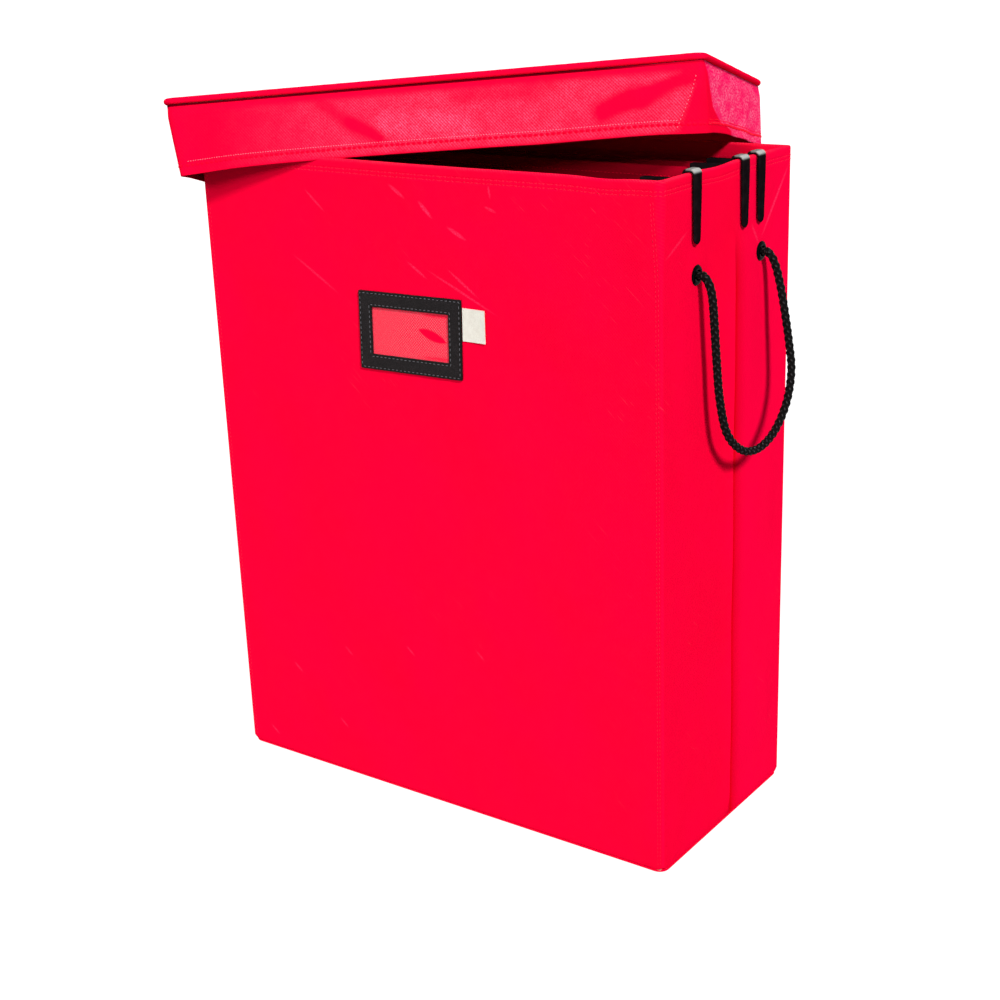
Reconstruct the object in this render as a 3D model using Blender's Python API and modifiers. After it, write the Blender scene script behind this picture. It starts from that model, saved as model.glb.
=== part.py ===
"""Gift wrap organizer: a tall fabric box with hanging dividers, rope handles and a lift-off lid.

Units are metres, +Z is up. X runs along the box, -Y is the front with the label, and the
origin is the middle of the underside. Each object is one piece of the real organizer.
"""
import math

import bmesh
import bpy
from mathutils import Euler, Vector

# Box
box_width = 0.420
box_depth = 0.190
box_height = 0.520

# Fit between pieces that touch, how far a cutter runs past what it cuts, and when points merge
seat_gap = 0.0003
overrun = 0.0030
weld_distance = 0.00001

# Fabric and stiffeners of the walls
fabric_thickness = 0.0008
stiffener_thickness = 0.0020
pocket_end_fold = 0.0030
rim_fold = 0.0030
rim_radius = 0.0012
hem_height = 0.0120
hem_extra_thickness = 0.0005

# Bottom
bottom_fabric_thickness = 0.0012
bottom_corner_radius = 0.0020
base_board_thickness = 0.0030

# Label on the front panel
label_shift_left = 0.0065
label_drop = 0.1270
label_width = 0.0970
label_height = 0.0610
label_thickness = 0.0014
label_corner_radius = 0.0012
label_border = 0.0122
label_window_thickness = 0.0003
label_window_tuck = 0.0030
tag_width = 0.0212
tag_height = 0.0248
tag_thickness = 0.0004
tag_rise = 0.0120

# Rope handles and their eyelets
rope_radius = 0.0032
eyelet_spacing = 0.0960
eyelet_drop = 0.0710
eyelet_bore_radius = 0.0037
eyelet_barrel_radius = 0.0046
eyelet_flange_radius = 0.0073
eyelet_flange_thickness = 0.0014
eyelet_lip_radius = 0.0058
eyelet_lip_thickness = 0.0008
washer_radius = 0.0069
washer_thickness = 0.0008
knot_radius = 0.0068
knot_length = 0.0110
knot_tail = 0.0020

# Hanging dividers, counted from the front, at shares of half the depth
divider_place_shares = (-0.5421, 0.1895, 0.4474)
divider_thickness = 0.0030
divider_top_drop = 0.0085
divider_floor_clearance = 0.0060
divider_side_clearance = 0.0188
divider_corner_radius = 0.0120

# Hooks that carry the dividers on the side rims
hook_width = 0.0100
hook_thickness = 0.0020
hook_stand_off = 0.0010
hook_bend_radius = 0.0025
hook_outer_drop = 0.0490
hook_inner_drop = 0.0400
hook_clip_reach = 0.0350
hook_clip_height = 0.0340
hook_clip_cheek = 0.0014
hook_clip_top_web = 0.0030

rivet_shank_radius = 0.0018
rivet_head_radius = 0.0034
rivet_head_height = 0.0009
rivet_inset = 0.0090
rivet_drop = 0.0170

# Lid, with the pose in which it lies askew on the rim
lid_end_margin = 0.0050
lid_side_margin = 0.0140
lid_height = 0.0512
lid_corner_radius = 0.0060
lid_fabric_thickness = 0.0010
lid_board_thickness = 0.0025
welt_radius = 0.0025
skirt_thickness = 0.0012
skirt_setback = 0.0015
lid_rest_left = 0.0440
lid_rest_back = 0.0390
lid_rest_rise = 0.0376
lid_rest_tilt_degrees = (-10.96, -4.26, 16.88)
hem_corner_pull = 0.0120
hem_corner_droop = 0.0050
hem_back_swing = 0.0110
droop_power = 6

# Counts
arc_steps = 4
round_segments = 18
skirt_columns = 16
skirt_rows = 4
rope_points_per_stretch = 2
rope_cap_degrees = (75, 40)

# Derived sizes
wall_thickness = 2 * fabric_thickness + 2 * seat_gap + stiffener_thickness
wall_foot = bottom_fabric_thickness + seat_gap
half_width = box_width / 2
half_depth = box_depth / 2
side_panel_span = half_depth - wall_thickness - hem_extra_thickness - seat_gap
label_centre = (-label_shift_left, box_height - label_drop)
eyelet_height = box_height - eyelet_drop
handle_axis_out = eyelet_flange_thickness + 3 * seat_gap + rope_radius
divider_half_width = half_width - wall_thickness - divider_side_clearance
divider_top = box_height - divider_top_drop
lid_length = box_width + 2 * lid_end_margin
lid_depth = box_depth + 2 * lid_side_margin
lid_rest_place = (-lid_rest_left, lid_rest_back, box_height + lid_rest_rise)

# Route of the right rope loop: distance out from the side, place along it, and height
rope_route = (
    (0.0053, -0.0480, 0.4490),
    (0.0098, -0.0484, 0.4437),
    (0.0128, -0.0488, 0.4337),
    (0.0142, -0.0482, 0.4146),
    (0.0150, -0.0465, 0.3916),
    (0.0165, -0.0440, 0.3615),
    (0.0192, -0.0375, 0.3350),
    (0.0232, -0.0215, 0.3188),
    (0.0262, -0.0010, 0.3155),
    (0.0281, 0.0195, 0.3235),
    (0.0290, 0.0361, 0.3410),
    (0.0277, 0.0455, 0.3626),
    (0.0240, 0.0480, 0.3837),
    (0.0198, 0.0478, 0.4080),
    (0.0152, 0.0478, 0.4290),
    (0.0103, 0.0480, 0.4430),
    (0.0053, 0.0480, 0.4490),
)

FACING_FRONT = (math.radians(90), 0, math.radians(90))
FACING_BACK = (math.radians(90), 0, math.radians(-90))
FACING_RIGHT = (math.radians(90), 0, math.radians(180))
FACING_LEFT = (math.radians(90), 0, 0)
OUT_RIGHT = (0, math.radians(90), 0)
OUT_LEFT = (0, math.radians(-90), 0)
OUT_FRONT = (math.radians(90), 0, 0)

def clear_scene():
    for item in list(bpy.data.objects):
        bpy.data.objects.remove(item, do_unlink=True)

def make_collection(name):
    collection = bpy.data.collections.new(name)
    bpy.context.scene.collection.children.link(collection)
    return collection

def make_material(name, colour, roughness, metallic=0.0):
    material = bpy.data.materials.new(name)
    material.use_nodes = True
    shader = material.node_tree.nodes["Principled BSDF"]
    shader.inputs["Base Color"].default_value = (*colour, 1.0)
    shader.inputs["Roughness"].default_value = roughness
    shader.inputs["Metallic"].default_value = metallic
    material.diffuse_color = (*colour, 1.0)
    return material

LOOKS = {
    "red_fabric": ((0.85, 0.0, 0.035), 0.75),
    "red_lid_fabric": ((0.82, 0.0, 0.04), 0.72),
    "card": ((0.45, 0.36, 0.26), 0.85),
    "black_leather": ((0.012, 0.012, 0.013), 0.5),
    "clear_film": ((0.9, 0.5, 0.55), 0.15),
    "tag_cloth": ((0.86, 0.82, 0.76), 0.8),
    "black_plastic": ((0.01, 0.01, 0.011), 0.25),
    "black_rope": ((0.012, 0.012, 0.014), 0.6),
    "black_metal": ((0.02, 0.02, 0.022), 0.2),
}

def finish(item, look, collection, parent=None):
    """Give a piece its own material, link it to its collection and shade it."""
    if item.name not in collection.objects:
        collection.objects.link(item)
    colour, roughness = LOOKS[look]
    item.data.materials.clear()
    item.data.materials.append(make_material(item.name + "_" + look, colour, roughness))
    if parent is not None:
        item.parent = parent
    if item.type == "MESH":
        item.data.shade_smooth()
        item.data.set_sharp_from_angle(angle=math.radians(32))
    return item

def arc_points(centre, radius, start_degrees, end_degrees, steps=arc_steps):
    points = []
    for step in range(steps + 1):
        angle = math.radians(start_degrees + (end_degrees - start_degrees) * step / steps)
        points.append((centre[0] + radius * math.cos(angle), centre[1] + radius * math.sin(angle)))
    return points

def rounded_rectangle(width, height, radius):
    """Outline of a centred rectangle with round corners, counter-clockwise."""
    across = width / 2 - radius
    up = height / 2 - radius
    outline = arc_points((across, up), radius, 0, 90)
    outline += arc_points((-across, up), radius, 90, 180)
    outline += arc_points((-across, -up), radius, 180, 270)
    outline += arc_points((across, -up), radius, 270, 360)
    return outline

def mesh_from_curve(curve_object):
    """Turn a curve object into a welded mesh object that takes its place."""
    bpy.context.view_layer.update()
    evaluated = curve_object.evaluated_get(bpy.context.evaluated_depsgraph_get())
    mesh = bpy.data.meshes.new_from_object(evaluated)
    welder = bmesh.new()
    welder.from_mesh(mesh)
    bmesh.ops.remove_doubles(welder, verts=welder.verts, dist=weld_distance)
    bmesh.ops.recalc_face_normals(welder, faces=welder.faces)
    welder.to_mesh(mesh)
    welder.free()
    name = curve_object.name
    place = curve_object.matrix_world.copy()
    bpy.data.objects.remove(curve_object, do_unlink=True)
    item = bpy.data.objects.new(name, mesh)
    item.matrix_world = place
    return item

def plate(name, outlines, thickness):
    """A flat piece: outlines in its own XY plane, thickness shared by both sides of it."""
    curve = bpy.data.curves.new(name, "CURVE")
    curve.dimensions = "2D"
    curve.fill_mode = "BOTH"
    curve.extrude = thickness / 2
    for outline in outlines:
        spline = curve.splines.new("POLY")
        spline.points.add(len(outline) - 1)
        for point, (across, up) in zip(spline.points, outline):
            point.co = (across, up, 0, 1)
        spline.use_cyclic_u = True
    item = bpy.data.objects.new(name, curve)
    bpy.context.scene.collection.objects.link(item)
    return mesh_from_curve(item)

def block(name, size, centre):
    """A rectangular block that starts as a unit cube."""
    mesh = bpy.data.meshes.new(name)
    builder = bmesh.new()
    bmesh.ops.create_cube(builder, size=1.0)
    bmesh.ops.scale(builder, vec=Vector(size), verts=builder.verts)
    builder.to_mesh(mesh)
    builder.free()
    item = bpy.data.objects.new(name, mesh)
    item.location = centre
    return item

def turned(name, profile, closed):
    """A turned piece: radius and height points, outer side from top to bottom, about local Z."""
    mesh = bpy.data.meshes.new(name)
    vertices = [(radius, 0, height) for radius, height in profile]
    edges = [(index, index + 1) for index in range(len(profile) - 1)]
    if closed:
        edges.append((len(profile) - 1, 0))
    mesh.from_pydata(vertices, edges, [])
    item = bpy.data.objects.new(name, mesh)
    screw = item.modifiers.new("turn", "SCREW")
    screw.axis = "Z"
    screw.steps = round_segments
    screw.render_steps = round_segments
    screw.use_merge_vertices = True
    screw.merge_threshold = weld_distance
    return item

def cylinder(name, radius, length, centre, tilt, collection):
    mesh = bpy.data.meshes.new(name)
    builder = bmesh.new()
    bmesh.ops.create_cone(
        builder, cap_ends=True, segments=round_segments, radius1=radius, radius2=radius, depth=length
    )
    builder.to_mesh(mesh)
    builder.free()
    item = bpy.data.objects.new(name, mesh)
    item.location = centre
    item.rotation_euler = tilt
    return as_cutter(item, collection)

def as_cutter(item, collection):
    collection.objects.link(item)
    item.hide_render = True
    item.display_type = "WIRE"
    return item

def boolean(item, other, operation):
    modifier = item.modifiers.new(operation.lower(), "BOOLEAN")
    modifier.operation = operation
    modifier.solver = "EXACT"
    modifier.object = other

def placed(item, location, tilt=(0, 0, 0)):
    item.location = location
    item.rotation_euler = tilt
    return item

def wall_outline():
    """Section of a wall: outer face at 0, rounded rim on top, and a thicker turned hem inside."""
    rise = box_height - wall_foot
    inner = wall_thickness + hem_extra_thickness
    outline = [(0, 0)]
    outline += list(reversed(arc_points((rim_radius, rise - rim_radius), rim_radius, 90, 180)))
    outline += list(reversed(arc_points((inner - rim_radius, rise - rim_radius), rim_radius, 0, 90)))
    outline += [(inner, rise - hem_height), (wall_thickness, rise - hem_height - hem_extra_thickness)]
    outline += [(wall_thickness, 0)]
    return outline

def wall(name, span, location, tilt, parts, cutters, holes=()):
    """A fabric sleeve with a pocket that is open below, and the stiffener board in the pocket."""
    sleeve = placed(plate(name + "_sleeve", [wall_outline()], span), location, tilt)
    turn = Euler(tilt).to_matrix()
    pocket_thickness = stiffener_thickness + 2 * seat_gap
    pocket_rise = box_height - wall_foot - rim_fold
    pocket_span = span - 2 * pocket_end_fold
    pocket_size = (pocket_thickness, pocket_rise + overrun, pocket_span)
    pocket_middle = Vector((wall_thickness / 2, (pocket_rise - overrun) / 2, 0))
    pocket = block(name + "_pocket", pocket_size, Vector(location) + turn @ pocket_middle)
    pocket.rotation_euler = tilt
    boolean(sleeve, as_cutter(pocket, cutters), "DIFFERENCE")

    board_size = (stiffener_thickness, pocket_rise - seat_gap, pocket_span - 2 * seat_gap)
    board_middle = Vector((wall_thickness / 2, board_size[1] / 2, 0))
    board = block(name + "_board", board_size, Vector(location) + turn @ board_middle)
    board.rotation_euler = tilt
    for hole in holes:
        boolean(sleeve, hole, "DIFFERENCE")
        boolean(board, hole, "DIFFERENCE")
    finish(sleeve, "red_fabric", parts)
    finish(board, "card", parts)

def build_walls(parts, cutters):
    wall("front_panel", box_width, (0, -half_depth, wall_foot), FACING_FRONT, parts, cutters)
    wall("back_panel", box_width, (0, half_depth, wall_foot), FACING_BACK, parts, cutters)
    span = side_panel_span - seat_gap / 2
    middle = (seat_gap + span) / 2
    for side, sign, tilt in (("right", 1, FACING_RIGHT), ("left", -1, FACING_LEFT)):
        for half, along in (("front", -1), ("rear", 1)):
            name = side + "_side_" + half + "_half"
            centre = (sign * half_width, along * eyelet_spacing / 2, eyelet_height)
            length = 2 * (wall_thickness + overrun)
            radius = eyelet_barrel_radius + seat_gap
            hole = cylinder(name + "_hole", radius, length, centre, OUT_RIGHT, cutters)
            place = (sign * half_width, along * middle, wall_foot)
            wall(name, span, place, tilt, parts, cutters, holes=(hole,))

def build_bottom(parts):
    outline = rounded_rectangle(box_width, box_depth, bottom_corner_radius)
    bottom = plate("bottom_fabric", [outline], bottom_fabric_thickness)
    finish(placed(bottom, (0, 0, bottom_fabric_thickness / 2)), "red_fabric", parts)
    length = box_width - 2 * (wall_thickness + seat_gap)
    depth = box_depth - 2 * (wall_thickness + seat_gap)
    outline = rounded_rectangle(length, depth, bottom_corner_radius)
    board = plate("base_board", [outline], base_board_thickness)
    finish(placed(board, (0, 0, wall_foot + base_board_thickness / 2)), "red_fabric", parts)

def build_label(parts):
    window_y = -half_depth - seat_gap - label_window_thickness / 2
    frame_y = -half_depth - 2 * seat_gap - label_window_thickness - label_thickness / 2
    tag_y = -half_depth - seat_gap - tag_thickness / 2
    opening = (label_width - 2 * label_border, label_height - 2 * label_border)
    outlines = [
        rounded_rectangle(label_width, label_height, label_corner_radius),
        rounded_rectangle(opening[0], opening[1], label_corner_radius / 2),
    ]
    frame = plate("label_frame", outlines, label_thickness)
    place = (label_centre[0], frame_y, label_centre[1])
    finish(placed(frame, place, OUT_FRONT), "black_leather", parts)

    size = (opening[0] + 2 * label_window_tuck, opening[1] + 2 * label_window_tuck)
    outline = rounded_rectangle(size[0], size[1], label_corner_radius)
    window = plate("label_window", [outline], label_window_thickness)
    place = (label_centre[0], window_y, label_centre[1])
    finish(placed(window, place, OUT_FRONT), "clear_film", parts)

    outline = rounded_rectangle(tag_width, tag_height, label_corner_radius / 2)
    tag = plate("sewn_tag", [outline], tag_thickness)
    tag_x = label_centre[0] + label_width / 2 + seat_gap + tag_width / 2
    finish(placed(tag, (tag_x, tag_y, label_centre[1] + tag_rise), OUT_FRONT), "tag_cloth", parts)

def eyelet_profile():
    """Flange outside, barrel through the wall and a rolled lip over the washer inside."""
    flange_top = seat_gap + eyelet_flange_thickness
    washer_inner = -wall_thickness - 2 * seat_gap - washer_thickness
    lip_bottom = washer_inner - eyelet_lip_thickness
    edge = eyelet_flange_thickness / 2
    rim = arc_points((eyelet_flange_radius - edge, seat_gap + edge), edge, 90, -90)
    profile = [(eyelet_bore_radius, flange_top - edge / 2), (eyelet_bore_radius + edge / 2, flange_top)]
    profile += rim
    profile += [(eyelet_barrel_radius, seat_gap), (eyelet_barrel_radius, washer_inner)]
    profile += [(eyelet_lip_radius, washer_inner), (eyelet_lip_radius, lip_bottom)]
    profile += [(eyelet_bore_radius, lip_bottom)]
    return profile

def washer_profile():
    top = -wall_thickness - seat_gap
    inner = eyelet_barrel_radius + seat_gap
    bottom = top - washer_thickness
    return [(inner, top), (washer_radius, top), (washer_radius, bottom), (inner, bottom)]

def rope_end_profile():
    """Rope through the eyelet with a two-lobed knot behind it and a short cut tail."""
    outer = eyelet_flange_thickness + 2 * seat_gap
    knot_top = -wall_thickness - 3 * seat_gap - washer_thickness - eyelet_lip_thickness
    lobe = knot_length / 4
    bulge = knot_radius - lobe
    profile = [(0, outer), (rope_radius, outer), (rope_radius, knot_top)]
    profile += arc_points((bulge, knot_top - lobe), lobe, 90, -60)
    profile += arc_points((bulge, knot_top - 3 * lobe), lobe, 60, -90)
    tail = knot_top - knot_length - knot_tail
    profile += [(rope_radius, knot_top - knot_length), (rope_radius, tail), (0, tail)]
    return profile

def build_eyelets(parts):
    for side, sign, tilt in (("right", 1, OUT_RIGHT), ("left", -1, OUT_LEFT)):
        for place_name, along in (("front", -1), ("rear", 1)):
            place = (sign * half_width, along * eyelet_spacing / 2, eyelet_height)
            tail = "_" + side + "_" + place_name
            eyelet = placed(turned("eyelet" + tail, eyelet_profile(), True), place, tilt)
            finish(eyelet, "black_metal", parts)
            washer = placed(turned("washer" + tail, washer_profile(), True), place, tilt)
            finish(washer, "black_metal", parts)
            rope_end = placed(turned("rope_end" + tail, rope_end_profile(), False), place, tilt)
            finish(rope_end, "black_rope", parts)

def smooth_route(points, steps):
    """Points along a smooth curve through the given points."""
    places = [Vector(point) for point in points]
    places = [2 * places[0] - places[1]] + places + [2 * places[-1] - places[-2]]
    route = []
    for index in range(1, len(places) - 2):
        before, start, end, after = places[index - 1:index + 3]
        for step in range(steps):
            t = step / steps
            straight = (end - before) * t
            bend = (2 * before - 5 * start + 4 * end - after) * t ** 2
            twist = (3 * start - before - 3 * end + after) * t ** 3
            route.append(start + (straight + bend + twist) / 2)
    route.append(places[-2])
    return route

def rounded_end(start, toward):
    """Points and shares of the rope's radius that round off an end about its first point."""
    outward = (start - toward).normalized() * rope_radius
    cap = []
    for degrees in rope_cap_degrees:
        angle = math.radians(degrees)
        cap.append((start + outward * math.sin(angle), math.cos(angle)))
    return cap

def build_rope_handles(parts):
    """Each loop hangs from an empty on the line through its two eyelets, and swings about it."""
    for side, sign in (("right", 1), ("left", -1)):
        pivot = bpy.data.objects.new("handle_pivot_" + side, None)
        pivot.location = (sign * (half_width + handle_axis_out), 0, eyelet_height)
        parts.objects.link(pivot)
        curve = bpy.data.curves.new("rope_handle_" + side, "CURVE")
        curve.dimensions = "3D"
        curve.bevel_depth = rope_radius
        curve.bevel_resolution = 2
        curve.use_fill_caps = True
        spline = curve.splines.new("POLY")
        route = smooth_route(rope_route, rope_points_per_stretch)
        stops = rounded_end(route[0], route[1])
        stops += [(place, 1.0) for place in route]
        stops += reversed(rounded_end(route[-1], route[-2]))
        spline.points.add(len(stops) - 1)
        start_out, _, start_height = rope_route[0]
        for point, ((out, along, height), radius_share) in zip(spline.points, stops):
            point.co = (sign * (out - start_out), along, height - start_height, 1)
            point.radius = radius_share
        loop = bpy.data.objects.new("rope_handle_" + side, curve)
        finish(loop, "black_rope", parts, parent=pivot)

def hook_path():
    """Middle line of the right-hand hook strap in X and Z, from the outer tip to the inner end."""
    inner_face = half_width - wall_thickness - hem_extra_thickness
    outer_x = half_width + seat_gap + hook_stand_off + hook_thickness / 2
    inner_x = inner_face - seat_gap - hook_thickness / 2
    top_z = box_height + seat_gap + hook_thickness / 2
    tip_z = box_height - hook_outer_drop
    radius = hook_bend_radius
    tip_radius = hook_width / 2
    path = []
    for step in range(1, arc_steps + 1):
        angle = math.radians(90) * step / arc_steps
        rise = tip_radius * (1 - math.cos(angle))
        path.append((outer_x, tip_z + rise, tip_radius * math.sin(angle)))
    for x, z in arc_points((outer_x - radius, top_z - radius), radius, 0, 90):
        path.append((x, z, tip_radius))
    for x, z in arc_points((inner_x + radius, top_z - radius), radius, 90, 180):
        path.append((x, z, tip_radius))
    path.append((inner_x, box_height - hook_inner_drop, tip_radius))
    return path, inner_x

def hook_strap(name, sign, place_y):
    """A flat strap with a round tip, bent over the rim."""
    path, _ = hook_path()
    mesh = bpy.data.meshes.new(name)
    builder = bmesh.new()
    rows = []
    for x, z, half in path:
        pair = (builder.verts.new((sign * x, -half, z)), builder.verts.new((sign * x, half, z)))
        rows.append(pair)
    for lower, upper in zip(rows, rows[1:]):
        builder.faces.new((lower[0], lower[1], upper[1], upper[0]))
    bmesh.ops.recalc_face_normals(builder, faces=builder.faces)
    builder.to_mesh(mesh)
    builder.free()
    strap = bpy.data.objects.new(name, mesh)
    solidify = strap.modifiers.new("thickness", "SOLIDIFY")
    solidify.thickness = hook_thickness
    solidify.offset = 0
    solidify.use_even_offset = True
    strap.location = (0, place_y, 0)
    return strap

def build_hook(name, sign, place_y, parts, cutters, hole):
    """Strap over the rim with a slotted clip on its inner leg that grips the divider's edge."""
    strap = hook_strap(name, sign, place_y)
    _, inner_x = hook_path()
    slot = divider_thickness + 2 * seat_gap
    clip_top = divider_top + seat_gap + hook_clip_top_web
    clip_size = (hook_clip_reach, slot + 2 * hook_clip_cheek, hook_clip_height)
    clip_x = inner_x - hook_clip_reach / 2
    clip = block(name + "_clip", clip_size, (sign * clip_x, place_y, clip_top - hook_clip_height / 2))
    boolean(strap, as_cutter(clip, cutters), "UNION")
    slot_outer = divider_half_width + seat_gap
    slot_inner = inner_x - hook_clip_reach - overrun
    slot_bottom = clip_top - hook_clip_height - overrun
    slot_size = (slot_outer - slot_inner, slot, divider_top + seat_gap - slot_bottom)
    slot_place = (sign * (slot_outer + slot_inner) / 2, place_y, slot_bottom + slot_size[2] / 2)
    slot_cut = block(name + "_slot", slot_size, slot_place)
    boolean(strap, as_cutter(slot_cut, cutters), "DIFFERENCE")
    boolean(strap, hole, "DIFFERENCE")
    finish(strap, "black_plastic", parts)

def rivet_profile():
    cheek_face = divider_thickness / 2 + seat_gap + hook_clip_cheek
    seat = cheek_face + seat_gap
    crown = seat + rivet_head_height
    shoulder = seat + rivet_head_height / 2
    near = rivet_head_radius - rivet_head_height / 2
    profile = [(0, crown), (near, crown), (rivet_head_radius, shoulder), (rivet_head_radius, seat)]
    profile += [(rivet_shank_radius, seat), (rivet_shank_radius, -seat)]
    profile += [(rivet_head_radius, -seat), (rivet_head_radius, -shoulder), (near, -crown), (0, -crown)]
    return profile

def divider_outline():
    """Divider from its lower corners, which are round, up to its square top corners."""
    foot = wall_foot + base_board_thickness + divider_floor_clearance
    radius = divider_corner_radius
    across = divider_half_width - radius
    outline = [(divider_half_width, divider_top), (-divider_half_width, divider_top)]
    outline += arc_points((-across, foot + radius), radius, 180, 270)
    outline += arc_points((across, foot + radius), radius, 270, 360)
    return outline

def build_dividers(parts, cutters):
    for number, place_share in enumerate(divider_place_shares, start=1):
        place_y = place_share * half_depth
        divider = placed(
            plate("divider_" + str(number), [divider_outline()], divider_thickness),
            (0, place_y, 0),
            OUT_FRONT,
        )
        for side, sign in (("right", 1), ("left", -1)):
            tail = "_" + side + "_" + str(number)
            centre = (sign * (divider_half_width - rivet_inset), place_y, divider_top - rivet_drop)
            radius = rivet_shank_radius + seat_gap
            length = divider_thickness + 2 * (hook_clip_cheek + overrun)
            hole = cylinder("rivet_hole" + tail, radius, length, centre, OUT_FRONT, cutters)
            boolean(divider, hole, "DIFFERENCE")
            build_hook("hook" + tail, sign, place_y, parts, cutters, hole)
            rivet = placed(turned("rivet" + tail, rivet_profile(), False), centre, OUT_FRONT)
            finish(rivet, "black_metal", parts)
        finish(divider, "red_fabric", parts)

def lid_corner(side, end):
    """Corner of the skirt's outer face under the welt, and how far the hem moves from below it."""
    reach = (lid_length / 2 - skirt_setback, lid_depth / 2 - skirt_setback)
    corner = Vector((side * reach[0], end * reach[1], 0))
    shifts = {
        (-1, -1): Vector((hem_corner_pull, 0, 0)),
        (-1, 1): Vector((0, hem_back_swing, 0)),
    }
    return corner, shifts.get((side, end), Vector((0, 0, 0)))

def skirt(name, start_corner, end_corner, droops, inset, parts, lid):
    """A sewn skirt: a sheet from the welt to the hem, with drooping corners."""
    start, start_shift = lid_corner(*start_corner)
    end, end_shift = lid_corner(*end_corner)
    along = (end - start).normalized()
    start += along * inset
    end -= along * inset
    top = -2 * welt_radius - seat_gap
    mesh = bpy.data.meshes.new(name)
    builder = bmesh.new()
    rows = []
    for row in range(skirt_rows + 1):
        down = row / skirt_rows
        rows.append([])
        for column in range(skirt_columns + 1):
            u = column / skirt_columns
            place = start.lerp(end, u) + start_shift.lerp(end_shift, u) * down
            droop = droops[0] * (1 - u) ** droop_power + droops[1] * u ** droop_power
            place.z = top + (-lid_height - droop - top) * down
            rows[row].append(builder.verts.new(place))
    for upper, lower in zip(rows, rows[1:]):
        for column in range(skirt_columns):
            corners = (upper[column], lower[column], lower[column + 1], upper[column + 1])
            builder.faces.new(corners)
    builder.to_mesh(mesh)
    builder.free()
    item = bpy.data.objects.new(name, mesh)
    solidify = item.modifiers.new("thickness", "SOLIDIFY")
    solidify.thickness = skirt_thickness
    solidify.offset = -1
    finish(item, "red_lid_fabric", parts, parent=lid)

def build_lid(parts):
    """The lid's pieces hang on an empty that holds the askew pose."""
    lid = bpy.data.objects.new("lid_pose", None)
    lid.location = lid_rest_place
    lid.rotation_euler = [math.radians(angle) for angle in lid_rest_tilt_degrees]
    parts.objects.link(lid)

    inside = 2 * (2 * welt_radius + seat_gap)
    sheet_size = (lid_length - inside, lid_depth - inside)
    outline = rounded_rectangle(sheet_size[0], sheet_size[1], lid_corner_radius)
    sheet = plate("lid_top_fabric", [outline], lid_fabric_thickness)
    finish(placed(sheet, (0, 0, -lid_fabric_thickness / 2)), "red_lid_fabric", parts, parent=lid)
    board = plate("lid_board", [outline], lid_board_thickness)
    board_z = -lid_fabric_thickness - seat_gap - lid_board_thickness / 2
    finish(placed(board, (0, 0, board_z)), "card", parts, parent=lid)

    curve = bpy.data.curves.new("lid_welt", "CURVE")
    curve.dimensions = "3D"
    curve.bevel_depth = welt_radius
    curve.bevel_resolution = 2
    spline = curve.splines.new("POLY")
    middle = (lid_length - 2 * welt_radius, lid_depth - 2 * welt_radius)
    outline = rounded_rectangle(middle[0], middle[1], lid_corner_radius + welt_radius)
    spline.points.add(len(outline) - 1)
    for point, (across, back) in zip(spline.points, outline):
        point.co = (across, back, -welt_radius, 1)
    spline.use_cyclic_u = True
    finish(bpy.data.objects.new("lid_welt", curve), "red_lid_fabric", parts, parent=lid)

    inset = skirt_thickness + seat_gap
    droop = hem_corner_droop
    skirt("lid_skirt_front", (-1, -1), (1, -1), (droop, droop), 0, parts, lid)
    skirt("lid_skirt_right", (1, -1), (1, 1), (droop, 0), inset, parts, lid)
    skirt("lid_skirt_back", (1, 1), (-1, 1), (0, 0), 0, parts, lid)
    skirt("lid_skirt_left", (-1, 1), (-1, -1), (0, droop), inset, parts, lid)

def main():
    clear_scene()
    parts = make_collection("gift_wrap_organizer")
    cutters = make_collection("cutters")
    build_walls(parts, cutters)
    build_bottom(parts)
    build_label(parts)
    build_eyelets(parts)
    build_rope_handles(parts)
    build_dividers(parts, cutters)
    build_lid(parts)

main()
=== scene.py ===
"""Looks of the gift wrap organizer: fabric, stitching, braided rope, hooks, label and lid.

Units are metres, +Z is up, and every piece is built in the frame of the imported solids.
"""

import math

import bmesh
import bpy
import numpy as np
from mathutils import Euler, Matrix, Vector


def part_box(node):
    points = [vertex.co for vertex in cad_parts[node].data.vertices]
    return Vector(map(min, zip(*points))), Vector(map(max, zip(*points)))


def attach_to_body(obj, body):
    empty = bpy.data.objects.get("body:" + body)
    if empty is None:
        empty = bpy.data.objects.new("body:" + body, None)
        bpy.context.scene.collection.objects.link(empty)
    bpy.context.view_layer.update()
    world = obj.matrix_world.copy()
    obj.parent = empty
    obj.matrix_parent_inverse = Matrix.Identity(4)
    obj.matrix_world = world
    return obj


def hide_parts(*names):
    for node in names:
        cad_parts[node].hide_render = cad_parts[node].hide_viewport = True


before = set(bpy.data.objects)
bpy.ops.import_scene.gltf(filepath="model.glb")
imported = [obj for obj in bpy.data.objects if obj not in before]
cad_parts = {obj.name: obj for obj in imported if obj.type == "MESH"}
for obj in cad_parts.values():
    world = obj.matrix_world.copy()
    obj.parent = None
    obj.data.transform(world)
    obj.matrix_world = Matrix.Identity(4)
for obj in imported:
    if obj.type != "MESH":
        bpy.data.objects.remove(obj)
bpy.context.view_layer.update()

# Box, read from the solids
FRONT_LOW, FRONT_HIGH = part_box("front_panel_sleeve")
half_width = FRONT_HIGH.x
half_depth = -FRONT_LOW.y
rim_height = FRONT_HIGH.z
wall_foot = FRONT_LOW.z
hem_wall = FRONT_HIGH.y - FRONT_LOW.y
wall_thickness = 0.0042
seat_gap = 0.0003
SIDES = (("right", 1), ("left", -1))
ENDS = (("front", -1), ("rear", 1))
SIDE_HALVES = [f"{side}_side_{half}_half" for side, _ in SIDES for half, _ in ENDS]
SLEEVES = [panel + "_sleeve" for panel in ("front_panel", "back_panel", *SIDE_HALVES)]
BOARDS = [panel + "_board" for panel in ("front_panel", "back_panel", "base", "lid", *SIDE_HALVES)]

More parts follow.
